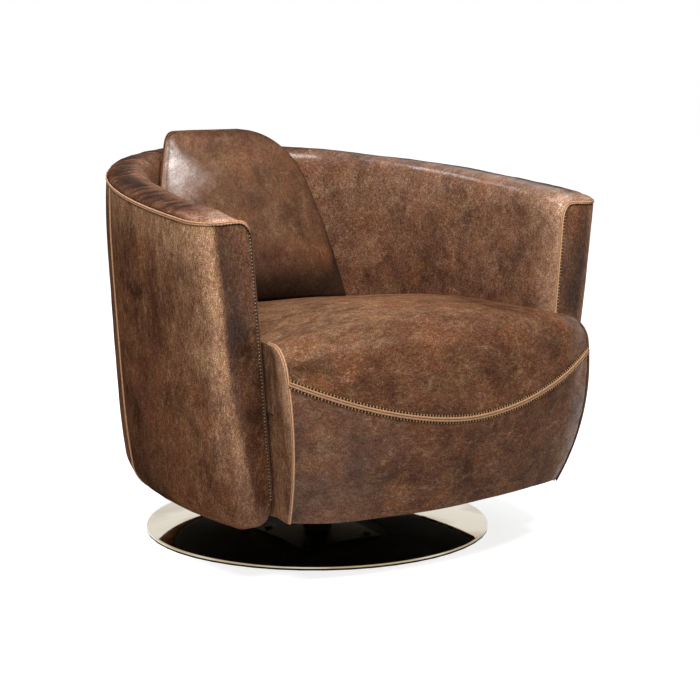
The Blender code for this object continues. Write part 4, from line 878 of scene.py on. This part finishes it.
def buildSeat():
    end = 1 - (leather["thick"] + seatLook["clear"]) / halfGap(tub["armFrontY"], seat["bottom"])
    t = np.linspace(-1, 1, seat["columns"])
    share = end * (0.55 * np.sin(t * np.pi / 2) + 0.45 * t)
    grid = seatPoints(share[:, None], *seatLoop(share))
    left, right, down, _ = edgeDistances(grid)
    seamDown = down[:, seamRow:seamRow + 1]
    sewn = (left, right, np.abs(down - seamDown), np.abs(down - down[:, shownRows - 1:shownRows]))
    dressed, marks = upholster(grid, (0, 0, 1), sewn, 51, seatLook)
    near = np.minimum.reduce(sewn)
    slack = seatLook["start"] * ramp(near, 0, seatLook["startWidth"])  # taken up again by the stuffing
    dressed = dressed - gridNormals(grid, (0, 0, 1)) * slack[..., None]
    dressed[:, shownRows:] = grid[:, shownRows:]
    x, y, at = grid[..., 0], grid[..., 1], seatPlaces
    toned = ramp(y, *at["rubbedFront"]) * ramp(x, *at["rubbedLeft"])  # most at the left of the crown
    behind = ramp(y, *at["behind"]) * ramp(x, *at["behindRight"])
    above = down < seamDown
    # painted highlight: the seat top paler towards the back and right (behind); wear pales the left of the crown
    marks["wearAndPaintedLight"] = (0.6 * toned + 0.5 * behind) * above - 0.1
    sheen = np.where(above, 0.14 - 0.06 * toned, 0.14 + 0.3 * ramp(x, *at["sheenLeft"]))
    marks["shine"] = sheen + 0.8 * ramp(x, *at["sheenRight"])
    inset = np.array([seatLook["capInset"], 0.0, 0.0])  # the end caps lie inside, clear of the borders
    dressed = np.concatenate([dressed[:1] + inset, dressed, dressed[-1:] - inset])
    marks = {key: np.pad(value, ((1, 1), (0, 0)), mode="edge") for key, value in marks.items()}
    made = makePiece(
        "seatCushion", dressed, tubeFaces(dressed), "seatHide", "chair",
        ("seat_top_cover", "seat_front_cover", "seat_foam"), marks,
    )
    pinned = np.where(near < seatLook["sewnWidth"], 1.0, 0.0)
    pinned[:, shownRows:] = 1.0
    pinned[:, :3] = 1.0
    puff(made, np.pad(pinned, ((1, 1), (0, 0)), constant_values=1.0).ravel(), seatLook)
    return made


buildSeat()
print("seat done")


# Seat borders: the strips of leather on the seat's sides, between its front edge and the arm
borderPlaces = {"edge": (0.008, 0.018), "upper": (0.20, 0.04), "sheen": (0.06, 0.04)}


def buildBorders():
    y, z = (values[0, seat["topRows"] - 1:shownRows, None] for values in seatLoop(1.0))
    across = y + (tub["armFrontY"] + seat["borderTuck"] - y) * np.linspace(0, 1, seat["borderColumns"])
    grid = seatPoints(1.0, across, np.broadcast_to(z, across.shape))
    top, _, front, _ = edgeDistances(grid)
    shown = bell(front, *borderPlaces["edge"])
    # painted highlight: much paler near the front edge towards the top, on a paler ground all over
    wearAndPaintedLight = 2.8 * shown * ramp(top, *borderPlaces["upper"]) + 0.5
    shine = 0.1 + 0.9 * shown * bell(top, *borderPlaces["sheen"])
    for name, sign, seed in (("right", 1.0, 61), ("left", -1.0, 71)):
        facing = (sign, 0, 0)
        dressed, marks = upholster(grid * mirror(sign), facing, (front,), seed, outside)
        marks |= {"wearAndPaintedLight": wearAndPaintedLight, "shine": shine}
        leatherSheet("seatBorder_" + name, dressed, facing, "sideHide", ("seat_border_" + name,), marks)


buildBorders()
print("seat borders done")


# Back pad: a tapering slab with a crowned face, bowed sides, a tight and a wide top corner and a band to the wall
pad = {
    "top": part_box("back_pad_front")[1].z, "footHalf": 0.200, "topHalf": 0.127, "footY": 0.205, "topY": 0.310,
    "sideBow": 0.0128, "topShift": -0.009, "cornerLeft": 0.020, "cornerRight": 0.086,
    "bulge": 0.034, "headThick": 0.050, "wallGap": 0.0025, "rows": 70, "columns": 61, "bandRows": 7,
    "dip": 0.0018, "dipWidth": 0.006, "pucker": 0.0005, "puckerReach": 0.020, "puckerLength": 0.028, "roll": 0.0010,
    "start": 0.006, "startWidth": 0.05, "sewnWidth": 0.006, "pressure": 3.0, "cap": 0.012, "frames": 20,
    "clear": 0.0005, "bandBow": 0.0015,
}
padPlaces = {"dark": (0.42, 0.0), "edge": (0.0, 0.012), "sheenAcross": (-0.90, 0.25), "sheenUp": (0.85, 0.19)}


def padFront(share, height):
    corner = np.where(share > 0, pad["cornerRight"], pad["cornerLeft"])
    over = np.clip(1 - (1 - height) * (pad["top"] - seat["sideHeight"]) / corner, 0, 1)
    half = pad["footHalf"] + (pad["topHalf"] - pad["footHalf"]) * height + pad["sideBow"] * 4 * height * (1 - height)
    half = half - corner * (1 - np.sqrt(1 - over ** 2))
    x = share * half + pad["topShift"] * height
    crown = pad["bulge"] * (1 - share ** 2) * (1 - (2 * height - 1) ** 4)
    y = pad["footY"] + (pad["topY"] - pad["footY"]) * height - crown
    foot = seatTopZ(np.clip(np.abs(x) / halfGap(y, seat["sideHeight"]), 0, 1), y) + pad["clear"]
    return np.stack([x, y, foot + (pad["top"] - foot) * height], -1)


def padBack(front, height):  # on the wall behind, and nearer the face above the rim
    x, y, z = np.moveaxis(front, -1, 0)
    level = np.minimum(z, rimZ(np.array(0.0)) - inside["kneeDrop"] - inside["rise"])
    s = np.linspace(0, 0.75, 90)
    levels = np.linspace(0.35, 0.70, 15)
    walls = wallPoint(s[None], wallDepth(s[None], levels[:, None]), levels[:, None])
    behind = np.stack([np.interp(np.abs(x), row[:, 0], row[:, 1]) for row in walls])
    k = np.clip((level - levels[0]) / (levels[1] - levels[0]), 0, len(levels) - 1.001)
    i = k.astype(int)
    a, b = np.take_along_axis(behind, i[None], 0)[0], np.take_along_axis(behind, i[None] + 1, 0)[0]
    wall = a + (b - a) * (k - i) - pad["wallGap"]
    head = np.minimum(y + pad["headThick"], wall)
    return np.stack([x, wall + (head - wall) * np.maximum(height - 0.5, 0) * 2, z], -1)


def buildPad():
    flat = np.linspace(0, 1, pad["rows"])
    height = 0.5 * np.sin(flat * np.pi / 2) + 0.5 * flat  # closer rows and columns at the sewn edges
    flat = np.linspace(-1, 1, pad["columns"])
    share = 0.5 * np.sin(flat * np.pi / 2) + 0.5 * flat
    heights, shares = np.meshgrid(height, share, indexing="ij")
    front = padFront(shares, heights)
    back = padBack(front, heights)
    _, top, left, right = edgeDistances(front)
    dressed, marks = upholster(front, (0, -1, 0), (top, left, right), 81, pad)
    near = np.minimum.reduce([top, left, right])
    slack = pad["start"] * ramp(near, 0, pad["startWidth"])
    dressed = dressed - gridNormals(front, (0, -1, 0)) * slack[..., None]
    index = gridIndex(front)
    rim = gridBorder(index)
    edge, far = dressed.reshape(-1, 3)[rim], back.reshape(-1, 3)[rim]
    middle = np.array([0.0, 0.0, pad["top"] / 2 + seat["sideHeight"] / 2])
    away = unit((edge - middle) * np.array([1.0, 0.0, 1.0]))
    steps = np.linspace(0, 1, pad["bandRows"])[1:-1, None, None]
    side = edge + (far - edge) * steps + away * pad["bandBow"] * np.sin(np.pi * steps)
    rings = [rim, *(2 * index.size + gridIndex(side)), rim + index.size]
    quads = gridQuads(index)
    faces = [quads, quads[:, ::-1] + index.size, *(loopStrip(a, b)[:, ::-1] for a, b in zip(rings, rings[1:]))]
    points = np.concatenate([dressed.reshape(-1, 3), back.reshape(-1, 3), side.reshape(-1, 3)])
    at = padPlaces
    # painted shade: the pad darker towards its foot and along its right and top edges
    marks["wearAndPaintedLight"] = 0.25 - 1.35 * ramp(heights, *at["dark"]) - 0.7 * bell(np.minimum(right, top), *at["edge"])
    marks["shine"] = 0.12 + 0.88 * bell(shares, *at["sheenAcross"]) * bell(heights, *at["sheenUp"])
    hidden = np.zeros(len(points) - index.size)
    marks = {label: np.append(values.ravel(), hidden) for label, values in marks.items()}
    made = makePiece(
        "backPad", points, np.concatenate(faces).tolist(), "padHide", "chair",
        ("back_pad_front", "back_pad_border", "back_pad_foam"), marks,
    )
    puff(made, np.append(np.where(near.ravel() < pad["sewnWidth"], 1.0, 0.0), hidden + 1), pad)
    return made


buildPad()
print("back pad done")


# Seams: raw edges of two hides turned out side by side, with thread sewn across them
lips = {  # half the width, how proud the edges stand and how deep they start
    "plain": (0.0021, 0.0016, -0.0012), "rim": (0.0026, 0.0010, -0.0012), "smile": (0.0037, 0.0026, -0.0015),
    "seatSide": (0.0027, 0.0016, -0.0012), "pad": (0.0012, 0.0014, -0.0012),
}
lipDull = {"armLeft": 0.9, "smile": 0.35, "seatRight": 0.92, "padTop": 0.95, "padThin": 0.7, "padPlace": (0.69, 0.71)}
thread = {"pitch": 0.0057, "long": 0.0040, "thick": 0.00075, "bow": 0.0004, "lift": 0.0001, "slant": 0.15, "phase": 0}
stitches = {  # rows, thread and what differs; phase 1 puts dark thread marks between the threads, painted shade of the needle holes
    "paleStitches": ("pale", "paleThread", {}),
    "seamHoleShade": ("pale", "darkThread", {"phase": 1, "thick": 0.0009, "lift": -0.0003}),
    "darkStitches": ("dark", "darkThread", {"lift": 0.0009}),
    "armTopStitches": ("armTop", "darkThread", {"long": 0.0046, "thick": 0.0008, "lift": 0.0009, "slant": 0.4}),
    "dotStitches": ("dots", "creamThread", {"long": 0.0021}),
    "dotHoleShade": ("dots", "darkThread", {"long": 0.0021, "phase": 1}),
}
seam = {
    "kneeLift": 0.004, "kneeEase": 0.02, "frontDepth": 0.01, "facing": 0.004, "cornerClear": 0.0045,
    "lowTop": 0.015, "topLow": 0.018, "padTurn": -0.7, "padMiddle": (0.0, 0.25, 0.55), "padFoot": 0.02,
    "dots": -0.0030, "pale": 0.0050, "armTop": 0.0029, "seatSide": 0.0056, "smile": 0.0054,  # rows beside a seam
    "sideIn": 0.0045, "sideTurn": 1.3, "sideProud": 0.0006, "sideStart": 12, "smileEnd": 0.982, "smileTurn": 0.3,
}
knee = rimZ(1.0) + seam["kneeLift"]
forward = np.array([0.0, -1.0, 0.0])


def lipProfile(half, proud, root):  # two rounded ridges with a groove between them
    right = [(0.0, 0.35), (0.22, 0.85), (0.5, 1.0), (0.8, 0.8), (1.0, 0.3)]
    ridge = [(-x * half, h * proud) for x, h in right[:0:-1]] + [(x * half, h * proud) for x, h in right]
    return [(-half, root), *ridge, (half, root)]


def besideSeat(points):  # 1 on the arm's edge beside the seat, 0 on its top and along the rim
    front = points[:, 1] < tub["armFrontY"] + seam["frontDepth"]
    return np.where(front, ramp(points[:, 2], knee, knee - seam["kneeEase"]), 0.0)


# up the arm front beside the seat, over its top, round its corner and along the rim to the back
def rimSeam():
    outline = armFrontOutline(leather["seamHalf"])
    seatZ = np.linspace(tub["bottom"] + tub["bottomRound"], inside["low"], 40)
    foot = np.stack([wallDepth(1.0, seatZ) - leather["seamHalf"], seatZ], -1)
    face = np.concatenate([foot, outline[::-1]])
    face = face[face[:, 0] > tub["corner"] + seam["cornerClear"]]
    points = [wallPoint(1.0, face[:, 0], face[:, 1])]
    inwards = np.cross(forward, unit(np.gradient(points[0], axis=0)))  # in the arm front's plane, off the panel
    beside = besideSeat(points[0])[:, None]
    outs = [unit(forward * (1 - 0.65 * beside) + inwards * (0.4 + 0.6 * beside))]
    turn = np.linspace(np.pi / 2, 0, 24)
    s = stationBehind(tub["corner"] * (1 - np.sin(turn)))
    points.append(wallPoint(s, tub["corner"] * (1 - np.cos(turn)), seamZ(s)))
    sideways = np.pad(-rimAt(s)[1], ((0, 0), (0, 1)))
    outs.append(np.sin(turn)[:, None] * forward + np.cos(turn)[:, None] * sideways)
    s = np.linspace(stationBehind(tub["corner"]), 0, 160)[1:]
    points.append(wallPoint(s, 0.0, rimZ(s)))
    outs.append(np.pad(-rimAt(s)[1], ((0, 0), (0, 1))))
    return np.concatenate(points), np.concatenate(outs)


def buildRimSeam(rows):
    half, halfOut = rimSeam()
    path = np.concatenate([half, half[-2::-1] * mirror(-1)])
    outs = np.concatenate([halfOut, halfOut[-2::-1] * mirror(-1)])

    def dullLeft(points):  # beside the seat the left arm's edge is darker
        return np.where(points[:, 0] < 0, lipDull["armLeft"] * besideSeat(points), 0.0)

    carryLip("rimLip", path, outs, lips["rim"], ("rim_welt",), dullLeft)
    armFace = half[half[:, 1] < tub["armFrontY"] + seam["facing"]]
    low = armFace[armFace[:, 2] < knee - seam["lowTop"]]
    top = armFace[armFace[:, 2] > knee - seam["topLow"]]
    for key, part, sign, offset in (
        ("dots", low, -1, seam["dots"]), ("pale", low, 1, seam["pale"]),
        ("armTop", top, -1, -seam["armTop"]), ("armTop", top, 1, seam["armTop"]),
    ):
        rows[key].append((part * mirror(sign), np.tile(forward, (len(part), 1)), offset))


def buildBackSeam(name, sign):
    s = stationOf(tub["backSeamY"])
    depth, z = (values[0, :-1] for values in skirtRows(rimZ(np.array([s])) - leather["seamHalf"], tub["bulge"]))
    back = wallPoint(s, depth, z)
    below = np.clip((tub["bottom"] + tub["bottomRound"] - z) / tub["bottomRound"], 0, 1)
    sideways = np.append(-rimAt(s)[1], 0.0)
    out = sideways * np.sqrt(1 - below ** 2)[:, None] + np.array([0, 0, -1.0]) * below[:, None]
    replaced = ("back_seam_welt_" + name,)
    carryLip("backSeam_" + name, back * mirror(sign), out * mirror(sign), lips["plain"], replaced)


def buildSeatSide(name, sign, rows):
    y, z = (values[0, seat["topRows"] - seam["sideStart"]:shownRows] for values in seatLoop(1.0))
    shown = y < tub["armFrontY"] - seat["borderStop"]
    y, z = y[shown], z[shown]
    along = unit(np.gradient(np.stack([y, z], -1), axis=0))
    faceOut = np.stack([np.zeros_like(y), along[:, 1], -along[:, 0]], -1)
    edge = np.stack([halfGap(y, z) - seam["sideIn"], y, z], -1)
    out = unit(faceOut + np.array([seam["sideTurn"], 0, 0]))  # turned towards the border

    def dullRight(points):  # the seat's right edge is darker
        return np.where(points[:, 0] > 0, lipDull["seatRight"], 0.0)

    welt = (edge + out * seam["sideProud"]) * mirror(sign)
    replaced = ("seat_side_welt_" + name,)
    carryLip("seatSideLip_" + name, welt, out * mirror(sign), lips["seatSide"], replaced, dullRight)
    rows["dark"].append((edge * mirror(sign), faceOut * mirror(sign), sign * seam["seatSide"]))


def buildSmile(rows):
    share = np.linspace(-seam["smileEnd"], seam["smileEnd"], 240)
    z = smileZ(share)
    smile = seatPoints(share, seatFaceY(share, z), z)
    aside = 2 * seat["bow"] * share / seam["smileTurn"]
    out = unit(np.stack([aside, -np.ones_like(share), 2 * seat["belly"] * (z - seat["bellyZ"])], -1))

    def handled(points):  # a little dull all along
        return np.full(len(points), lipDull["smile"])

    carryLip("smileLip", smile, out, lips["smile"], ("seat_front_welt",), handled)
    rows["pale"] += [(smile, out, seam["smile"]), (smile, out, -seam["smile"])]


def buildPadEdge():  # the pad shows its raw edge only on the left
    ring = padFront(np.full(120, -1.0), np.linspace(seam["padFoot"], 1, 120))
    out = unit((ring - np.array(seam["padMiddle"])) * np.array([1.0, 0.0, 1.0]))
    out = unit(out + np.array([0.0, seam["padTurn"], 0.0]))

    def dullTop(points):
        return ramp(points[:, 2], *lipDull["padPlace"]) * lipDull["padTop"]

    carryLip("padLip", ring, out, lips["pad"], (), dullTop, lipDull["padThin"])


def buildSeams():
    rows = {key: [] for key in ("pale", "dark", "dots", "armTop")}
    buildRimSeam(rows)
    for name, sign in (("right", 1.0), ("left", -1.0)):
        buildBackSeam(name, sign)
        buildSeatSide(name, sign, rows)
    buildSmile(rows)
    for name, (key, material, changes) in stitches.items():
        stitchObject(name, rows[key], thread | changes, material)
    buildPadEdge()


buildSeams()
print("seams and stitches done")


# Base: profiles turned round the swivel axis; the disc is a shallow dome with a rolled edge
base = {
    "discRadius": 0.315, "edgeTop": 0.0075, "edgeRound": 0.003, "dome": 0.0265, "hole": 0.0285, "sheet": 0.0015,
    "discFoot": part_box("base_disc")[0].z, "flangeRadius": 0.070, "flange": 0.005, "columnRadius": 0.028,
    "columnBore": 0.0205, "sides": 192, "columnSides": 96, "sharp": 50,
}


def turnProfile(name, profile, material, replaced, sides):
    turn = np.linspace(0, 2 * np.pi, sides, endpoint=False)
    radius, z = np.array(profile).T
    grid = np.stack([np.outer(np.cos(turn), radius), np.outer(np.sin(turn), radius), np.tile(z, (sides, 1))], -1)
    index = gridIndex(grid)
    index = np.concatenate([index, index[:1]])
    faces = gridQuads(np.concatenate([index, index[:, :1]], 1)).tolist()
    made = makePiece(name, grid, faces, material, "base", replaced)
    made.data.set_sharp_from_angle(angle=np.radians(base["sharp"]))
    return made


def buildBase():
    rim = base["discRadius"] - base["edgeRound"]
    radius = np.linspace(base["hole"], rim, 60)
    dome = base["edgeTop"] + base["dome"] * (1 - (radius / rim) ** 2)
    turn = np.linspace(0, np.pi / 2, 12)[1:]
    edgeZ = base["edgeTop"] - base["edgeRound"] * (1 - np.cos(turn))
    inner = base["discRadius"] - base["sheet"]
    profile = [*zip(radius, dome), *zip(rim + base["edgeRound"] * np.sin(turn), edgeZ)]
    profile += [(base["discRadius"], base["discFoot"]), (inner, base["discFoot"])]
    profile += [(inner, base["edgeTop"] - base["edgeRound"]), *zip(radius[::-1], dome[::-1] - base["sheet"])]
    turnProfile("polishedDisc", profile, "chrome", ("base_disc",), base["sides"])
    low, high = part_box("base_column")[0].z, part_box("base_column")[1].z
    step = low + base["flange"]
    bore, shaft, flange = base["columnBore"], base["columnRadius"], base["flangeRadius"]
    profile = [(bore, low), (flange, low), (flange, step), (shaft, step), (shaft, high), (bore, high)]
    # painted shade: the column is near-black in place of its chrome
    turnProfile("swivelColumn", profile, "shadeBlackSteel", ("base_column",), base["columnSides"])


buildBase()
print("base done")


# Dust cloth: stapled under the board, a ring from a round hole out to the tub's underside, sagging a little
dust = {
    "hole": 0.1373, "turns": 160, "rings": 14, "sag": 0.0012, "thick": 0.0008, "margin": 0.0015, "neckSide": 0.010,
    "clear": 0.0001, "hemIn": 0.001, "ripple": 0.09,
}


def buildDustCloth():
    low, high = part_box("dust_cover")
    inset = tub["bottomRound"] + tub["underTurn"] + dust["margin"]
    end = stationBehind(tub["bottomRound"] + tub["underTurn"] + 2 * tub["tightCorner"])
    s = np.linspace(-end, end, 200)
    outline = wallPoint(s, inset, high.z)[:, :2]
    neck = wallPoint(1.0, wallDepth(1.0, high.z), high.z)[0] - dust["neckSide"]
    front = np.array([(neck, outline[-1, 1]), (neck, low.y), (-neck, low.y), (-neck, outline[0, 1])])
    corners = np.concatenate([outline, front, outline[:1]])
    t = np.linspace(0, 1, 9)[:-1, None]
    fine = np.concatenate([a + (b - a) * t for a, b in zip(corners, corners[1:])])
    angle = np.arctan2(fine[:, 1], fine[:, 0])
    order = angle.argsort()
    turn = np.linspace(-np.pi, np.pi, dust["turns"], endpoint=False)
    reach = np.interp(turn, angle[order], np.linalg.norm(fine, axis=1)[order], period=2 * np.pi) - dust["hemIn"]
    share = np.linspace(0, 1, dust["rings"])
    radius = dust["hole"] + (reach[:, None] - dust["hole"]) * share
    flat = np.stack([radius * np.cos(turn)[:, None], radius * np.sin(turn)[:, None], np.zeros_like(radius)], -1)
    hang = dust["sag"] * np.sin(np.pi * share) * (1 + 0.5 * waves(flat, dust["ripple"], 91))
    under = flat + np.stack([0 * hang, 0 * hang, high.z - dust["clear"] - dust["thick"] - hang], -1)
    over = under + np.array([0, 0, dust["thick"]])
    index = gridIndex(radius)
    wrapped = gridQuads(np.concatenate([index, index[:1]]))
    faces = [wrapped, wrapped[:, ::-1] + radius.size]
    faces += [loopStrip(edge, edge + radius.size) for edge in (index[:, 0], index[:, -1])]
    points = np.concatenate([under.reshape(-1, 3), over.reshape(-1, 3)])
    made = makePiece("dustCloth", points, np.concatenate(faces).tolist(), "cloth", "chair", ("dust_cover",))


buildDustCloth()
print("dust cloth done")


# Stage: white ground and surround, soft lamps, the photo's camera
studio = {
    "lens": 94.37, "sensor": 36.0, "cameraPlace": (-1.775, -2.791, 0.86), "pitch": 9.175, "heading": -33.5,
    "ambient": 0.42, "floorColour": rgb(0.70, 0.69, 0.68), "floorGlow": 0.78, "floorSide": 12.0,
}
lamps = {  # place, where it points, size and power
    "keyLamp": ((-1.15, -1.2, 3.0), (0.0, 0.0, 0.45), 1.7, 118.0),
    "glintLamp": ((0.05, -1.74, 2.27), (-0.127, 0.285, 0.655), 0.55, 40.0),
    "rimLamp": ((-0.33, 1.32, 2.55), (0.3, -0.2, 0.6), 0.6, 15.0),
}


def seenRays(tree):  # 1 for what the camera sees, straight on, mirrored or through something
    rays = put(tree, "ShaderNodeLightPath").outputs
    seen = calc(tree, "MAXIMUM", rays["Is Camera Ray"], rays["Is Glossy Ray"])
    return calc(tree, "MAXIMUM", seen, rays["Is Transmission Ray"])


def buildStage():
    side = studio["floorSide"]
    corners = [(-side, -side, 0), (side, -side, 0), (side, side, 0), (-side, side, 0)]
    mesh = bpy.data.meshes.new("ground")
    mesh.from_pydata(corners, [], [(0, 1, 2, 3)])
    ground = bpy.data.objects.new("ground", mesh)
    scene.collection.objects.link(ground)
    paper = bpy.data.materials.new("groundPaper")
    paper.use_nodes = True
    tree = paper.node_tree
    tree.nodes.clear()
    glow = calc(tree, "MULTIPLY", seenRays(tree), studio["floorGlow"])
    matt = put(tree, "ShaderNodeBsdfDiffuse", {"Color": studio["floorColour"]})
    light = put(tree, "ShaderNodeEmission", {"Strength": glow})
    both = put(tree, "ShaderNodeAddShader", {0: matt.outputs[0], 1: light.outputs[0]})
    put(tree, "ShaderNodeOutputMaterial", {"Surface": both.outputs[0]})
    mesh.materials.append(paper)
    world = bpy.data.worlds.new("surround")
    scene.world = world
    world.use_nodes = True
    tree = world.node_tree
    tree.nodes.clear()
    strength = put(tree, "ShaderNodeMapRange", {"Value": seenRays(tree), "To Min": studio["ambient"], "To Max": 1.0})
    sky = put(tree, "ShaderNodeBackground", {"Color": rgb(1, 1, 1), "Strength": strength.outputs[0]})
    put(tree, "ShaderNodeOutputWorld", {"Surface": sky.outputs[0]})


def buildLamps():
    for name, (place, target, size, power) in lamps.items():
        lamp = bpy.data.lights.new(name, "AREA")
        lamp.shape = "DISK"
        lamp.size = size
        lamp.energy = power
        made = bpy.data.objects.new(name, lamp)
        made.location = place
        made.rotation_euler = (Vector(target) - Vector(place)).to_track_quat("-Z", "Y").to_euler()
        scene.collection.objects.link(made)


def buildCamera():
    lens = bpy.data.cameras.new("photoCamera")
    lens.lens = studio["lens"]
    lens.sensor_width = studio["sensor"]
    made = bpy.data.objects.new("photoCamera", lens)
    made.location = studio["cameraPlace"]
    made.rotation_euler = np.radians([90 - studio["pitch"], 0, studio["heading"]])
    scene.collection.objects.link(made)
    scene.camera = made
    scene.view_settings.view_transform = "Standard"


buildStage()
buildLamps()
buildCamera()
print("stage done")
